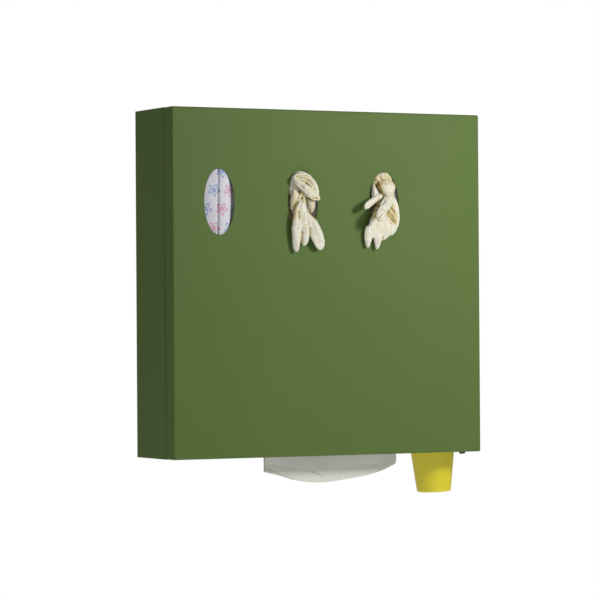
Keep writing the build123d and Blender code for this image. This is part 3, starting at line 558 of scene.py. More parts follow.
FINISHES = {
    "green_paint": powder_coat,
    "stainless": brushed_steel,
    "zinc_steel": zinc_plate,
    "white_card": coated_card,
    "magnet": ferrite,
    "white_plastic": lambda c: fine_grained("moulded white plastic", c.white_plastic, 0.4),
    "nylon": lambda c: fine_grained("moulded nylon", c.nylon, 0.45),
    "dark_plastic": lambda c: fine_grained("moulded knob plastic", c.knob, 0.4),
    "buffer_rubber": lambda c: fine_grained("moulded rubber", c.rubber, 0.75),
}


class CABINET_OT_hard_parts(bpy.types.Operator):
    """Give the metal, card and plastic parts their finishes"""

    bl_idname = "cabinet.hard_parts"
    bl_label = "Finish hard parts"

    def execute(self, context):
        colours = context.scene.cabinet_colours
        made = {slot: build(colours) for slot, build in FINISHES.items()}
        slots = {part["node"]: part["material_slot"] for part in frame["record"]["subparts"]}
        for node, part in frame["nodes"].items():
            if slots[node] in made:
                part.data.materials.clear()
                part.data.materials.append(made[slots[node]])
        return {"FINISHED"}


# Masks

MASK_THICK = 4.5 * MM
PILE_SETBACK = 11 * MM
MASK_SECTION = [
    # right of the slot's middle and behind the door's front, in millimetres
    (-50, 9.5), (-34, 9.4), (-29, 9.0), (-25, 8.0), (-19, 6.3), (-12, 4.6), (-6, 3.5), (-3, 3.4),
    (-1.7, 4.2), (-0.8, 5.4), (-0.1, 5.2), (0.5, 3.7), (1.3, 2.3), (3, 1.5), (8, 1.1), (13, 1.5),
    (18, 3.0), (22, 5.6), (26, 8.4), (34, 9.4), (50, 9.5),
]


class CABINET_OT_masks(bpy.types.Operator):
    """Make the folded masks in their box, the front one pleated and printed"""

    bl_idname = "cabinet.masks"
    bl_label = "Make masks"

    def execute(self, context):
        cloth = mask_cloth(context.scene.cabinet_colours)
        low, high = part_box("mask_stack")
        centre = middle("mask_box")
        self.pile(cloth, low, high, centre)
        self.front_mask(cloth, low, high, centre)
        return {"FINISHED"}

    def pile(self, cloth, low, high, centre):
        """Rounded block behind the front mask. Each folded mask's edge shows as a soft step: a sine
        along the pile's depth."""
        front = (low.x, DOOR_FRONT + PILE_SETBACK, low.z)
        points, faces = block_points(front, high, radius=2.5 * MM, step=1.6 * MM)
        layer = np.sin((points[:, 1] - low.y) * 2 * np.pi / MASK_THICK)
        points[:, 0] += np.sign(points[:, 0] - centre.x) * 0.3 * MM * (layer - 1)
        points[:, 2] += np.sign(points[:, 2] - centre.z) * 0.4 * MM * (layer - 1)
        mesh = make_mesh("mask_pile", points, faces, uv=points[:, [0, 2]], closed=True)
        place_piece(mesh, "door", cloth, ["mask_stack"])

    def front_mask(self, cloth, low, high, centre):
        """The section is one curve across, swept up the box: its setback grows by 2.4 mm times
        (height / half height)^4, the crease leans, and slow sines ripple the cloth."""
        section = through(MASK_SECTION, count=260) * MM
        rise = np.linspace(low.z + 1 * MM, high.z - 1 * MM, 150) - centre.z
        half = rise[-1]
        u, v = np.meshgrid(section[:, 0], rise, indexing="ij")
        setback = np.repeat(section[:, 1:], len(rise), 1)
        lean = 0.014 * v * np.exp(-(u / (14 * MM)) ** 2)
        ripple = 0.35 * np.sin(v / (9 * MM) + u / (7 * MM)) + 0.3 * np.sin(v / (23 * MM) + 1.3)
        bend = 2.4 * MM * (np.abs(v) / half) ** 4
        fade = np.clip((9 * MM - setback) / (6 * MM), 0, 1)
        y = DOOR_FRONT + setback + bend + ripple * MM * fade
        points = np.stack([centre.x + u + lean, y, centre.z + v], -1)
        uv = np.stack([u, v], -1).reshape(-1, 2)
        faces = quads(len(section), len(rise))[:, ::-1]
        mesh = make_mesh("mask_front", points.reshape(-1, 3), faces, uv=uv)
        piece = place_piece(mesh, "door", cloth)


# Gloves

def limp_tube(stations, pleats, pleat_depth, phase):
    """Closed soft tube. Stations give right, up and out of the door, half width, half thickness and
    roll in degrees. With C, w, t smooth through them and e = (1 - |2s - 1|^7)^0.5 rounding the ends,
    P(s, a) = C + e w cos a A + e (t sin a + d sin(k pi cos a + phase + 2s)) B, where A lies across
    the path in the door's plane, turned by the roll, and B = A x path."""
    along, around = 90, 56
    rows = through([(*station, 0)[:6] for station in stations], along)
    centre, width, thick, roll = rows[:, :3], rows[:, 3], rows[:, 4], np.radians(rows[:, 5:])
    path = np.gradient(centre, axis=0)
    path /= np.maximum(np.linalg.norm(path, axis=1), 1e-9)[:, None]
    across = np.cross(path, [0.0, 0.0, 1.0])
    across /= np.maximum(np.linalg.norm(across, axis=1), 1e-6)[:, None]
    side = across * np.cos(roll) + np.cross(across, path) * np.sin(roll)
    face = np.cross(side, path)
    s = np.linspace(0, 1, along)
    ends = np.sqrt(np.clip(1 - np.abs(2 * s - 1) ** 7, 0, 1))
    a = np.linspace(0, 2 * np.pi, around, endpoint=False)
    wave = pleat_depth * np.sin(pleats * np.pi * np.cos(a)[None, :] + phase + 2 * s[:, None])
    x = (ends * width)[:, None] * np.cos(a)[None, :]
    y = ends[:, None] * (thick[:, None] * np.sin(a)[None, :] + wave)
    points = centre[:, None, :] + x[..., None] * side[:, None, :] + y[..., None] * face[:, None, :]
    return points.reshape(-1, 3), quads(along, around, wrap_cols=True)


def stroke_field(u, v, strokes):
    """Sum of strokes, each depth exp(-(d / width)^2), where d is the distance in the door's plane to
    the straight line between the stroke's two ends."""
    total = np.zeros(u.shape)
    for u0, v0, u1, v1, width, depth in strokes:
        du, dv = u1 - u0, v1 - v0
        share = np.clip(((u - u0) * du + (v - v0) * dv) / (du * du + dv * dv), 0, 1)
        d = np.hypot(u - u0 - share * du, v - v0 - share * dv)
        total += depth * np.exp(-((d / width) ** 2))
    return total


# Shapes of the gloves in millimetres from their slot's middle. A tube has its stations, which give
# right, up, out, half width, half thickness and, where there is one, roll, then its pleats, their
# depth and their phase. A stroke has right and up of both its ends, its width and its depth, where a
# crease is below 0 and a ridge above. A tint is a stroke of painted shade, whose depth says how golden
# and dark it makes the latex.

MIDDLE_TUBES = [
    ([(-2, -4, 0, 13, 3.5), (-3, 14, 0, 20, 5), (-3, 32, 0, 19, 5), (-3, 44, -1, 13, 4),
      (-3, 50, -1, 7, 3)], 3, 0.8, 0.4),
    ([(-8, 38, 4, 8, 4), (2, 28, 6, 10, 5), (10, 14, 7, 8, 4)], 0, 0.0, 0.0),
    ([(-22, 31, 3, 4, 3), (-15, 39, 5, 6, 3.5), (-4, 41, 7, 7, 4), (6, 35, 9, 7.5, 4),
      (13, 24, 11, 7, 4), (20, 10, 11, 4.5, 3)], 3, 0.9, 1.0),
    ([(-22, 38, 7, 2.6, 2.4), (-14, 31, 10, 5.2, 3.2, 10), (-1, 21, 12.5, 7, 4, 15),
      (12, 11.5, 13, 7.6, 3.6, 10), (24.5, 5, 11, 3, 2.2)], 2, 0.8, 0.2),
    ([(-17, 21, 4, 4.5, 2.5), (-17, 9, 6, 7, 3, -10), (-19, -3, 5, 5.4, 2, -10), (-22, -12, 3, 2, 1.5)],
      1, 0.6, 0.0),
    ([(-5, 18, 8, 4, 3), (-7, 4, 9, 7, 3.5), (-9, -12, 9.5, 11, 4), (-8, -26, 9.5, 15.5, 4.2),
      (-7, -38, 9, 16, 4), (-7, -50, 8, 12, 3)], 2, 0.6, 2.0),
    ([(-17, -32, 8, 8, 4), (-16, -46, 8, 8, 4), (-15.5, -62, 7, 7, 3.6), (-16, -77, 6.5, 4, 2.8)],
      1, 0.5, 0.5),
    ([(-1, -28, 9, 9, 4), (-1.5, -42, 10, 8.4, 4), (-2.5, -56, 10, 7, 3.6), (-3.5, -67, 9, 4, 2.8)],
      1, 0.5, 1.5),
    ([(6, -17, 9, 4, 3.2), (9, -28, 10, 8.4, 4), (15, -43, 10.5, 10.5, 4.4), (22, -59, 10, 10, 4),
      (27, -73, 9, 7, 3.2)], 1, 0.6, 2.4),
    ([(12, 11, 3, 6, 3), (13.5, 2, 3, 7.4, 3, 15), (14, -8, 2.5, 4.6, 2), (13, -17, 1, 1.6, 1.5)],
      1, 0.5, 0.0),
]
MIDDLE_STROKES = [
    (-15, 40, 4, 34, 1.3, -1.6), (4, 34, 14, 22, 1.3, -0.8), (-17, 36, 0, 30, 1.3, -1.5),
    (0, 30, 12, 20, 1.3, -1.3), (-22, 37, -6, 25, 1.6, 1.3), (-14, 34, 6, 17, 1.0, -1.4),
    (-6, 25, 4, 14, 1.6, 1.3), (-9, 17, 1, 8.5, 1.6, -2.6), (1, 8.5, 22, 5.5, 1.5, -2.0),
    (-9, 7, -22, -8, 1.5, -3.0), (-7, 12, -8, 2, 1.4, -1.6), (1, 6, 6, -12, 1.7, -5.0),
    (6, -12, 15, -25, 1.9, -5.0), (-14, -14, -14, -24, 1.5, -1.8), (-14, -24, -17, -42, 1.5, -1.0),
    (-8.5, -46, -8.8, -72, 1.3, -2.4), (5, -40, 5.5, -66, 1.5, -2.4), (-6, -36, 2, -33, 1.2, -0.8),
    (-6, -42, 3, -39, 1.2, -0.9), (-6, -48, 3, -45, 1.2, -0.9), (-5, -54, 2, -51, 1.1, -0.8),
    (3, -20, 6, -36, 1.6, 1.0), (-3, -8, -4, -26, 1.8, 0.9), (12, -30, 24, -58, 2.0, 0.7),
    (18, -50, 27, -55, 1.2, -0.6), (20, -60, 30, -64, 1.2, -0.6),
]
# Painted shade in the middle glove's pockets and creases
MIDDLE_SHADE_TINTS = [
    (-18, 12, -20, -4, 4.5, 0.3), (-8, 14, -4, 2, 3, 0.3), (2, 4, 8, -14, 2.6, 1.0),
    (8, -14, 14, -24, 2.4, 1.0), (12, 8, 17, -14, 5, 0.25), (-20, -10, -22, -24, 4, 0.3),
    (-14, -14, -13, -22, 2.5, 0.25), (-12, 44, 8, 40, 6, 0.15), (8, 26, 14, 14, 4, 0.1),
]
RIGHT_TUBES = [
    ([(-2, -8, 0, 12, 3.5), (-1, 12, 0, 19, 5), (-1, 32, -1, 19, 5), (-2, 44, -2, 14, 4),
      (-3, 50, -2, 8, 3)], 3, 0.9, 0.9),
    ([(0, 37, 3, 9, 2.5), (0, 32, 8, 15, 4), (0, 24, 10, 14, 4.4), (-1, 15, 10, 7.5, 4),
      (-2, 8, 9, 2.5, 3)], 1, 0.6, 0.5),
    ([(-21, 31, 2, 2, 2), (-19, 22, 4, 5, 2.5), (-17, 13, 5, 8, 3), (-14, 5, 6, 7, 3)], 1, 0.6, 0.0),
    ([(-7, 14, 9, 3.4, 3), (-17, 10, 12, 4.4, 3.4, 20), (-29, 4, 16, 5.4, 3.8, 20),
      (-40, -2.4, 19, 6, 3.8, 20), (-48, -7, 22, 5, 3.2, 20)], 0, 0.0, 0.0),
    ([(5, 12, 11, 8, 4.5), (-1, 5, 16, 9.6, 4.6), (-11, -3, 24, 8.8, 4.2), (-19, -11, 30, 8.2, 4.2),
      (-26, -19, 35, 9, 4.6), (-31, -29, 38, 7, 4)], 1, 0.5, 0.6),
    ([(10, 14, 5, 5, 3.2), (11, 2, 7, 8, 3.6), (12, -11, 8, 10, 3.6), (10, -25, 8, 12.5, 3.4),
      (5, -40, 8, 12, 2.8), (4, -50, 7, 11, 2.2)], 2, 0.8, 1.2),
    ([(-9, 4, 6, 8, 3.2), (-11, -12, 7.5, 12, 3.2), (-12, -28, 7.5, 18, 3), (-13, -42, 7.5, 20, 2.8),
      (-14, -50, 7, 18, 2.4), (-15, -58, 6.5, 12, 2)], 3, 0.9, 0.4),
    ([(-29, -34, 6.5, 8, 2.8), (-32, -50, 6.5, 8, 2.8), (-34, -70, 6, 2.6, 2)], 1, 0.5, 0.3),
    ([(-17, -38, 7, 9, 2.8), (-16, -54, 7, 7.4, 2.8), (-17.5, -72, 6.5, 2.4, 2)], 1, 0.5, 1.3),
]
RIGHT_STROKES = [
    (-6, -14, 15, -32, 1.4, -1.7), (-6, -20, 6, -32, 1.2, -1.1), (-27, -3, -14, 4, 2.0, -3.0),
    (-22, -8, -14, -14, 2.0, -3.0), (4, -4, 12, -14, 1.6, -1.8), (-16, 28, -8, 12, 1.5, -2.4),
    (-13, 35, -4, 31, 1.4, -1.8), (-20, 28, -22, 12, 1.2, 0.8), (-25, -26, -24, -52, 2.0, -1.2),
    (-13, -30, -12, -46, 2.0, -0.9), (-24, -56, -24, -66, 1.4, -2.6), (-8, -52, -7, -66, 1.4, -2.0),
    (3, 28, 1, 14, 1.8, 0.9), (-4, 8, -14, -8, 1.8, 1.1), (-26, -17, -33, -24, 1.2, -1.8),
    (2, -34, 0, -50, 2.4, 0.8), (-2, 12, 4, 4, 1.3, -2.0), (-10, 46, -4, 34, 1.2, -1.0),
    (6, 47, 8, 36, 1.2, -1.0), (16, 38, 12, 30, 1.2, -1.2),
]
# Painted shade in the right glove's pockets and creases
RIGHT_SHADE_TINTS = [
    (-20, 3, -24, -6, 4.5, 0.75), (-14, -6, -22, -20, 4.5, 0.65), (0, -10, 13, -27, 4.5, 0.7),
    (8, -4, 14, -18, 3, 0.45), (-15, 30, -8, 12, 2.4, 0.7), (-12, 40, 12, 40, 7, 0.3),
    (16, 30, 18, 12, 4, 0.35), (-16, 38, -12, 30, 3, 0.5), (-22, -2, -14, -2, 3, 0.4),
]

GLOVES = {
    "middle": (MIDDLE_TUBES, MIDDLE_STROKES, MIDDLE_SHADE_TINTS),
    "right": (RIGHT_TUBES, RIGHT_STROKES, RIGHT_SHADE_TINTS),
}
GLOVE_INSIDE = 5.4 * MM  # behind the door's front at most, clear of the pack
PACK_STRETCH = [1 / MM, 1 / MM, 1.6 / MM]


class CABINET_OT_gloves(bpy.types.Operator):
    """Make the two gloves that hang out of their slots, and the packs behind them"""

    bl_idname = "cabinet.gloves"
    bl_label = "Make gloves"

    def execute(self, context):
        colours = context.scene.cabinet_colours
        skin = latex(colours)
        # The packs' latex has painted shade over it, as they lie in the dark of their boxes
        inside = latex(colours, pack_shade=0.45)
        for side in GLOVES:
            self.glove(side, context.scene.cabinet_sizes.glove_voxel, skin)
        for side in GLOVES:
            self.pack(side, inside)
        return {"FINISHED"}

    def glove(self, side, voxel, material):
        """Glove: soft tubes fused into one skin, then pushed in or out along its normals by the
        strokes, where it faces the room, and by two crumple fields, less so far from the door."""
        tubes, strokes, shade_tints = GLOVES[side]
        slot = middle("glove_box_" + side)
        points, faces = joined([limp_tube(*tube) for tube in tubes])
        right, up, out = points.T * MM
        placed = np.stack([slot.x + right, DOOR_FRONT - out, slot.z + up], -1)
        mesh = make_mesh("glove_hanging_" + side, placed, faces, closed=True)
        piece = place_piece(mesh, "door", material, ["glove_" + side])
        mesh = baked(piece, "REMESH", mode="VOXEL", voxel_size=voxel)
        placed = relaxed(mesh, points_of(mesh)[0], 3)
        set_points(mesh, placed)
        normals = points_of(mesh)[1]
        u = (placed[:, 0] - slot.x) / MM
        v = (placed[:, 2] - slot.z) / MM
        facing = np.clip(-normals[:, 1] * 2.0, 0, 1)
        # 1 within 14 mm of the door's front, and 0 from 18 mm on
        near = np.clip((placed[:, 1] - DOOR_FRONT + 18 * MM) / (4 * MM), 0, 1)
        hung = crumple(placed / MM * [1, 1, 0.4], 8, 3) - 0.5
        fine = crumple(placed / MM, 7, 8) - 0.5
        push = facing * stroke_field(u, v, strokes) + (0.7 * hung + 0.7 * fine) * (0.5 + 0.5 * near)
        placed = relaxed(mesh, placed + normals * (push * MM)[:, None], 1)
        placed[:, 1] = np.minimum(placed[:, 1], DOOR_FRONT + GLOVE_INSIDE)
        set_points(mesh, placed)
        self.paint_fold_shade(mesh, placed, near * stroke_field(u, v, shade_tints))
        mesh.shade_smooth()
        mesh.materials.clear()
        mesh.materials.append(material)

    def paint_fold_shade(self, mesh, placed, shade_tint):
        """Painted shade: a point's fold value grows as it lies below its surroundings, behind the
        door's front where the slot is in shade, and along the tints, golden pockets of painted shade."""
        normals = points_of(mesh)[1]
        hollow_shade = np.sum((relaxed(mesh, placed, 14) - placed) * normals, axis=1) / (0.55 * MM)
        # Painted shade inside the slot: points behind the door's front get up to half the fold colour
        back = np.clip((placed[:, 1] - DOOR_FRONT) / (7 * MM) + 0.1, 0, 0.5)
        set_fold_shade(mesh, np.clip(0.5 * np.clip(hollow_shade, 0, 1) + back + shade_tint, 0, 1))

    def pack(self, side, material):
        """Pack of interfolded gloves: a rounded block whose front is crumpled, its height being
        4 mm times the crumple field, less towards the window's edge."""
        low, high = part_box("glove_pack_" + side)
        points, faces = block_points(low, high, radius=3 * MM, step=1.4 * MM)
        front = np.clip((low.y + 8 * MM - points[:, 1]) / (8 * MM), 0, 1)
        points[:, 1] += front * 4 * MM * (1 - crumple(points * PACK_STRETCH, 13, 21))
        mesh = make_mesh("glove_pack_folds_" + side, points, faces, closed=True)
        placed = points_of(mesh)[0]
        # Painted shade in the pack's crumpled front: darker where it is pushed furthest in
        set_fold_shade(mesh, np.clip(1.3 - 1.6 * crumple(placed * PACK_STRETCH, 13, 21), 0, 1))
        place_piece(mesh, "door", material, ["glove_pack_" + side])


# Towels

# Share of the towel's width and how far its edge hangs below the cabinet there, in millimetres
FRONT_EDGE = [(0, 12.0), (0.02, 12.6), (0.12, 15.8), (0.3, 24.2), (0.4, 25.2), (0.56, 24.2),
              (0.77, 19.4), (0.985, 14.4), (1, 13.0)]
REAR_EDGE = [(0, 24.5), (0.02, 26.0), (0.1, 30.4), (0.2, 37.2), (0.3, 41.8), (0.38, 43.4),
             (0.47, 43.5), (0.59, 40.7), (0.76, 35.6), (0.88, 29.2), (0.97, 21.0), (1, 17.6)]
# Strokes right of the towel's left edge and above the cabinet's bottom, in millimetres
PRESSED_LINES = [
    (2, -17, 50, -37, 1.6, -0.5), (84, -25, 108, -37, 2.0, -0.8), (86, -29, 112, -38, 1.6, 0.6),
    (36, -27, 40, -36, 1.6, -0.3), (132, -26, 133, -38, 1.4, -0.3), (186, -19, 190, -33, 1.4, -0.3),
    (206, -16, 208, -27, 1.4, -0.3),
]
TOWEL_THICK = 0.25 * MM


def edge_drop(edge, s):
    """How far the towel hangs below the cabinet at share s of its width, through the edge's points."""
    rows = through(edge, count=400)
    return np.interp(s, rows[:, 0], rows[:, 1]) * MM


class CABINET_OT_towels(bpy.types.Operator):
    """Make the towel pile and the two towel leaves that hang out of the cabinet"""

    bl_idname = "cabinet.towels"
    bl_label = "Make towels"

    def execute(self, context):
        paper = towel_paper(context.scene.cabinet_colours)
        self.pile(context.scene.cabinet_sizes.towel_layer, paper)
        self.front_leaf(paper)
        self.rear_leaf(paper)
        return {"FINISHED"}

    def pile(self, layer, paper):
        """Pile of folded towels, with painted shade darkest in the gaps between the layers."""
        low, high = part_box("towel_stack")
        layers = round((high.z - low.z) / layer)
        ring = self.pile_rings(low, high, layers)
        rows, cols = ring.shape[:2]
        points = ring.reshape(-1, 3)
        i = np.arange(cols // 2 - 1)
        cap = np.stack([i, i + 1, cols - 2 - i, cols - 1 - i], -1)
        faces = [quads(rows, cols, wrap_cols=True), cap, cap + (rows - 1) * cols]
        mesh = make_mesh("towel_pile", points, np.concatenate(faces), closed=True,
                         uv=points[:, [0, 2]])
        share = (points_of(mesh)[0][:, 2] - low.z) / (high.z - low.z) * layers
        # Painted shade between the layers, where each layer's bulge ends
        set_fold_shade(mesh, 0.7 * (1 - np.abs(np.sin(np.pi * share)) ** 0.5))
        place_piece(mesh, "root", paper, ["towel_stack"])

    def pile_rings(self, low, high, layers):
        """Closed ring of points round each height, along the front and back along the rear. Both
        stand out by 1.4 mm times |sin|^0.6 of the height over one layer, and each layer is shifted
        by a seeded bit and sags in a seeded sine."""
        rng = np.random.default_rng(5)
        inset, steps = 2.4 * MM, 6
        z = np.linspace(low.z, high.z, layers * steps + 1)
        phase = (z - low.z) / (high.z - low.z) * layers
        index = np.minimum(phase.astype(int), layers - 1)
        bulge = 1.4 * MM * np.abs(np.sin(np.pi * phase[:, None])) ** 0.6
        shift = rng.uniform(0, 1.5, layers)[index][:, None] * MM
        shift_side = rng.uniform(0, 0.9, layers)[index][:, None] * MM
        wave = rng.uniform(0, 6.28, layers)[index][:, None]
        t = np.linspace(0, 1, 60)
        sag = 0.7 * MM * np.sin(6 * t + wave)
        front = low.y + inset - bulge + shift + sag
        back = high.y - inset + bulge - shift - sag
        x = low.x + 0.5 * MM + (high.x - low.x - 1 * MM) * t + shift_side * np.where(t < 0.5, 1, -1)
        height = np.repeat(z[:, None], len(t), 1)
        return np.concatenate([np.stack([x, front, height], -1),
                               np.stack([x[:, ::-1], back[:, ::-1], height], -1)], 1)

    def leaf(self, side, grid, uv, fold, length, paper):
        """Piece for one leaf from its grid of points. Its length from edge to edge is not used."""
        rows, cols = grid.shape[:2]
        mesh = make_mesh("towel_hanging_" + side, grid.reshape(-1, 3), quads(rows, cols),
                         uv=uv.reshape(-1, 2))
        set_fold_shade(mesh, fold)
        piece = place_piece(mesh, "root", paper, ["towel_leaf_" + side])
        baked(piece, "SOLIDIFY", thickness=TOWEL_THICK, offset=0).shade_smooth()

    def front_leaf(self, paper):
        """P(s, t): s across, t from the pile down to the edge's curve. Its setback is
        0.9 mm sin(2 pi (1.5 s + 0.2)) t + 0.4 mm sin(8 pi s) t^2, so that its free edge waves."""
        low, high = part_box("towel_leaf_front")
        s, t = np.meshgrid(np.linspace(0, 1, 240), np.linspace(0, 1, 44), indexing="ij")
        z = high.z + (CABINET_BOTTOM - edge_drop(FRONT_EDGE, s) - high.z) * t
        margin = 0.3 * MM
        tuck = 1.0 * MM * (1 - t) * (s < 0.5) * (1 - 2 * s)
        x = low.x + margin + (high.x - low.x - 2 * margin) * s + tuck
        wave = 0.9 * np.sin(2 * np.pi * (1.5 * s + 0.2)) * t + 0.4 * np.sin(2 * np.pi * 4 * s) * t**2
        y = middle("towel_leaf_front").y + wave * MM
        # Painted shade along the free edge, darkest at the edge, over its last tenth
        fold = 0.55 * np.clip((t - 0.9) / 0.1, 0, 1) ** 2
        self.leaf("front", np.stack([x, y, z], -1), np.stack([x, z], -1), fold,
                  (high.z - z[:, -1]).mean(), paper)

    def rear_leaf(self, paper):
        """Doubled leaf: the section goes down the front, round the fold on a half circle of 1.3 mm,
        and up the back, while the fold follows the edge's curve. Pressed lines are shallow grooves
        depth exp(-(d / width)^2) beside their straight lines."""
        low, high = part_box("towel_leaf_rear")
        radius, margin, deepest, steps = 1.3 * MM, 0.4 * MM, 44 * MM, 50
        across = np.linspace(0, 1, 240)
        turn = np.linspace(0, np.pi, 13)[1:-1]
        bottom = (CABINET_BOTTOM - edge_drop(REAR_EDGE, across) + radius)[:, None]
        down = high.z + (bottom - high.z) * np.linspace(0, 1, steps)
        z = np.concatenate([down, bottom - radius * np.sin(turn), down[:, ::-1]], 1)
        side = np.concatenate([np.full(steps, -1.0), -np.cos(turn), np.full(steps, 1.0)])
        s = np.repeat(across[:, None], z.shape[1], 1)
        x = low.x + margin + (high.x - low.x - 2 * margin) * s
        depth = (high.z - z) / (high.z - (CABINET_BOTTOM - deepest))
        wave = 0.8 * np.sin(2 * np.pi * (1.1 * s + 0.55)) * depth
        grooves = stroke_field((x - low.x) / MM, (z - CABINET_BOTTOM) / MM, PRESSED_LINES)
        y = middle("towel_leaf_rear").y + side * radius + wave * MM - grooves * MM * (side < 0)
        grid = np.stack([x, y, z], -1)
        lengths = np.linalg.norm(np.diff(grid, axis=1), axis=2)
        along = np.concatenate([np.zeros((len(across), 1)), np.cumsum(lengths, 1)], 1)
        # An even darker tone over the whole leaf, plus painted shade in the pressed lines' grooves
        fold = 0.14 + np.clip(-grooves * 0.45, 0, 0.5)
        self.leaf("rear", grid, np.stack([x, along], -1), fold, along[:, -1].mean(), paper)


# Cups

# Outer radius of the cup's wall, where it starts and at the mouth
CUP_BASE = 27.25 * MM
CUP_MOUTH = 36.3 * MM
CUP_HEIGHT = 75 * MM
CUP_TILT = math.radians(2.0)
NEST_PITCH = 9 * MM
NEST_STRAIGHTENS = math.radians(0.4)


def cup_surface(pitch, height):
    """Ribbed cup on z = 0: a closed profile turned about Z. The wall's radius grows evenly from the
    foot to the mouth and has ribs, height cos(2 pi z / pitch)."""
    base, mouth, tall = CUP_BASE, CUP_MOUTH, CUP_HEIGHT
    slope = (mouth - base) / tall
    wall = 0.6 * MM
    edge = 2.5 * MM  # radius of the rounded edge round the foot
    foot = 23.25 * MM  # inner radius of the ring that the cup stands on
    recess = 1.5 * MM  # height of the bottom inside that ring
    bead = 0.8 * MM  # how far the rim stands out
    bead_low = tall - 1.8 * MM
    around = 96
    bend = np.linspace(0, np.pi / 2, 8)[1:-1]
    z_out = np.linspace(edge, bead_low - 1 * MM, 150)
    ribs = height * np.cos(2 * np.pi * z_out / pitch) * np.clip((z_out - edge) / (2 * MM), 0, 1)
    profile = np.concatenate([
        [(0, recess), (foot - 0.4 * MM, recess), (foot, recess - 0.4 * MM), (foot, 0.3 * MM),
         (foot + 0.4 * MM, 0), (base - edge, 0)],
        np.stack([base - edge + edge * np.sin(bend), edge - edge * np.cos(bend)], -1),
        np.stack([base + slope * z_out + ribs, z_out], -1),
        [(mouth - slope * 1.8 * MM, bead_low), (mouth + bead, bead_low + 0.1 * MM),
         (mouth + bead, tall - 0.3 * MM), (mouth + bead - 0.4 * MM, tall), (mouth - wall, tall),
         (base - wall + slope * (recess + wall), recess + wall), (0, recess + wall)],
    ])
    a = np.linspace(0, 2 * np.pi, around, endpoint=False)
    r, z = profile[:, :1], profile[:, 1:]
    points = np.stack([r * np.cos(a), r * np.sin(a), np.repeat(z, around, 1)], -1)
    return points.reshape(-1, 3), quads(len(profile), around, wrap_cols=True)


def stood(points, centre, tilt):
    """Cup's points turned about Y by the tilt, round its mid height, and moved to its centre."""
    lifted = points - [0, 0, CUP_HEIGHT / 2]
    x = lifted[:, 0] * math.cos(tilt) - lifted[:, 2] * math.sin(tilt)
    z = lifted[:, 0] * math.sin(tilt) + lifted[:, 2] * math.cos(tilt)
    return np.stack([x, lifted[:, 1], z], -1) + np.array(centre)


class CABINET_OT_cups(bpy.types.Operator):
    """Make the ribbed cups: the lowest one, and those nested above it"""

    bl_idname = "cabinet.cups"
    bl_label = "Make cups"

    def execute(self, context):
        plastic = cup_plastic(context.scene.cabinet_colours)
        sizes = context.scene.cabinet_sizes
        points, faces = cup_surface(sizes.rib_pitch, sizes.rib_height)
        # the rim reaches furthest left and right, and leans left of the middle of the cup
        centre = middle("cup_lowest") + Vector((CUP_HEIGHT / 2 * math.sin(CUP_TILT), 0, 0))
        mesh = make_mesh("cup_hanging", stood(points, centre, CUP_TILT), faces, closed=True)
        place_piece(mesh, "root", plastic, ["cup_lowest"])
        self.nested(points, faces, centre, plastic)
        return {"FINISHED"}

    def nested(self, points, faces, centre, plastic):
        """Cups above the lowest, each standing straighter than the one below."""
        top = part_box("cup_stack")[1].z
        lean = CUP_TILT
        cups = []
        for i in range(1, round((top - centre.z - CUP_HEIGHT / 2) / NEST_PITCH) + 1):
            below, lean = lean, max(0.0, CUP_TILT - NEST_STRAIGHTENS * i)
            step = (below + lean) / 2
            centre = centre + NEST_PITCH * Vector((-math.sin(step), 0, math.cos(step)))
            cups.append((stood(points, centre, lean), faces))
        mesh = make_mesh("cups_nested", *joined(cups), closed=True)
        place_piece(mesh, "root", plastic, ["cup_stack"])


# Studio

CAMERA_PLACE = (-2.2609, -4.3390, -0.0635)
CAMERA_TURNS = (-0.44910879, -27.69797176, -0.37475352)  # tip, pan and roll in degrees
FOCAL_PIXELS = 3050.692473
PHOTO_PIXELS = 600
SENSOR = 36.0
FLOOR_RADIUS = 3.4
FADE_RADIUS = 1.3


def camera_matrix():
    """Camera's place and turns: pan about the vertical, then tip, then roll. Its rows point right,
    down and ahead in axes whose second runs down and third runs into the wall."""
    tip, pan, roll = (math.radians(a) for a in CAMERA_TURNS)
    right, down, ahead = (
        Matrix.Rotation(roll, 3, "Z") @ Matrix.Rotation(tip, 3, "X") @ Matrix.Rotation(pan, 3, "Y"))
    columns = [Vector((v[0], v[2], -v[1])) for v in (right, -down, -ahead)]
    return Matrix.Translation(CAMERA_PLACE) @ Matrix(columns).transposed().to_4x4()


def soft_box(name, place, target, size, power):
    """Square light that looks at the target and isn't seen itself."""
    light = bpy.data.lights.new(name, "AREA")
    light.shape = "SQUARE"
    light.size = size
    light.energy = power
    lamp = new_object(name, light)
    lamp.location = place
    lamp.rotation_euler = (Vector(target) - Vector(place)).to_track_quat("-Z", "Y").to_euler()
    lamp.visible_camera = False


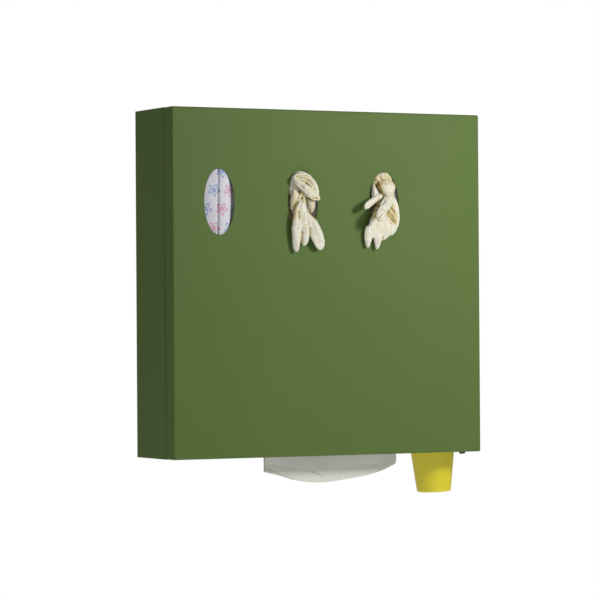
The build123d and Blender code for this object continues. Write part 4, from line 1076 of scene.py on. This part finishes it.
class CABINET_OT_studio(bpy.types.Operator):
    """Make the floor, the lights and the camera"""

    bl_idname = "cabinet.studio"
    bl_label = "Make studio"

    def execute(self, context):
        studio = context.scene.cabinet_studio
        self.floor(studio.floor_drop)
        soft_box("key_light", place=(0.5, -1.1, 0.42), target=(0.05, -0.13, 0.0), size=0.24,
                 power=studio.key_power)
        soft_box("fill_light", place=(-0.4, -2.6, -0.5), target=(0.0, -0.1, -0.1), size=1.6,
                 power=studio.fill_power)
        self.world(studio.ambient)
        camera = bpy.data.cameras.new("camera")
        camera.sensor_width = SENSOR
        camera.lens = SENSOR * FOCAL_PIXELS / PHOTO_PIXELS
        camera.clip_start, camera.clip_end = 0.05, 100
        seat = new_object("camera", camera)
        seat.matrix_world = camera_matrix()
        context.scene.camera = seat
        context.scene.view_settings.view_transform = "Standard"
        return {"FINISHED"}

    def floor(self, drop):
        """Flat disc, whose rings lie closer near its middle: its radius times the square of their
        share."""
        rings, around = 24, 96
        r = FLOOR_RADIUS * np.linspace(0, 1, rings)[:, None] ** 2
        a = np.linspace(0, 2 * np.pi, around, endpoint=False)
        points = np.stack([r * np.cos(a), r * np.sin(a), np.full((rings, around), -drop)], -1)
        mesh = make_mesh("floor", points.reshape(-1, 3), quads(rings, around, wrap_cols=True))
        floor = new_object("floor", mesh)
        mesh.materials.append(self.floor_paper())

    def floor_paper(self):
        """Matt studio paper, lit a little from below, that fades out towards the disc's edge."""
        material, tree, shader, place = new_material("matt studio paper", {
            "Roughness": 0.9, "Base Color": linear("F1F1F0"), "Emission Color": linear("FFFFFF"),
            "Emission Strength": 0.55})
        far = add(tree, "VectorMath", [place], operation="LENGTH")
        fade = add(tree, "MapRange", {"Value": far, "From Min": FADE_RADIUS, "From Max": FLOOR_RADIUS,
                                      "To Min": 1.0, "To Max": 0.0}, interpolation_type="SMOOTHSTEP")
        join(tree, shader, {"Alpha": fade})
        return material

    def world(self, ambient):
        """White surroundings: the backdrop is seen at full white, and lights the object less."""
        world = bpy.data.worlds.new("studio")
        bpy.context.scene.world = world
        world.use_nodes = True
        tree = world.node_tree
        tree.nodes.clear()
        seen = add(tree, "LightPath").outputs["Is Camera Ray"]
        room = add(tree, "Background", {"Color": linear("FFFFFF"), "Strength": ambient})
        backdrop = add(tree, "Background", {"Color": linear("FFFFFF"), "Strength": 1.0})
        both = add(tree, "MixShader", [seen, room, backdrop])
        add(tree, "OutputWorld", {"Surface": both})


class CABINET_PT_panel(bpy.types.Panel):
    """Sizes, colours and steps of the cabinet"""

    bl_label = "Wall dispenser cabinet"
    bl_space_type = "VIEW_3D"
    bl_region_type = "UI"
    bl_category = "Cabinet"

    def draw(self, context):
        scene = context.scene
        for step in STEPS:
            self.layout.operator(step.bl_idname)
        for group in (scene.cabinet_sizes, scene.cabinet_studio, scene.cabinet_colours):
            for name in group.__annotations__:
                self.layout.prop(group, name)


STEPS = (
    CABINET_OT_hard_parts,
    CABINET_OT_masks,
    CABINET_OT_gloves,
    CABINET_OT_towels,
    CABINET_OT_cups,
    CABINET_OT_studio,
)
GROUPS = {
    "cabinet_sizes": CabinetSizes,
    "cabinet_colours": CabinetColours,
    "cabinet_studio": CabinetStudio,
}
CLASSES = (*GROUPS.values(), *STEPS, CABINET_PT_panel)


def register():
    for item in CLASSES:
        bpy.utils.register_class(item)
    for name, group in GROUPS.items():
        setattr(bpy.types.Scene, name, bpy.props.PointerProperty(type=group))


def unregister():
    for name in GROUPS:
        delattr(bpy.types.Scene, name)
    for item in reversed(CLASSES):
        bpy.utils.unregister_class(item)


def main():
    register()
    for step in STEPS:
        getattr(bpy.ops.cabinet, step.bl_idname.removeprefix("cabinet."))()


if __name__ == "__main__":
    main()
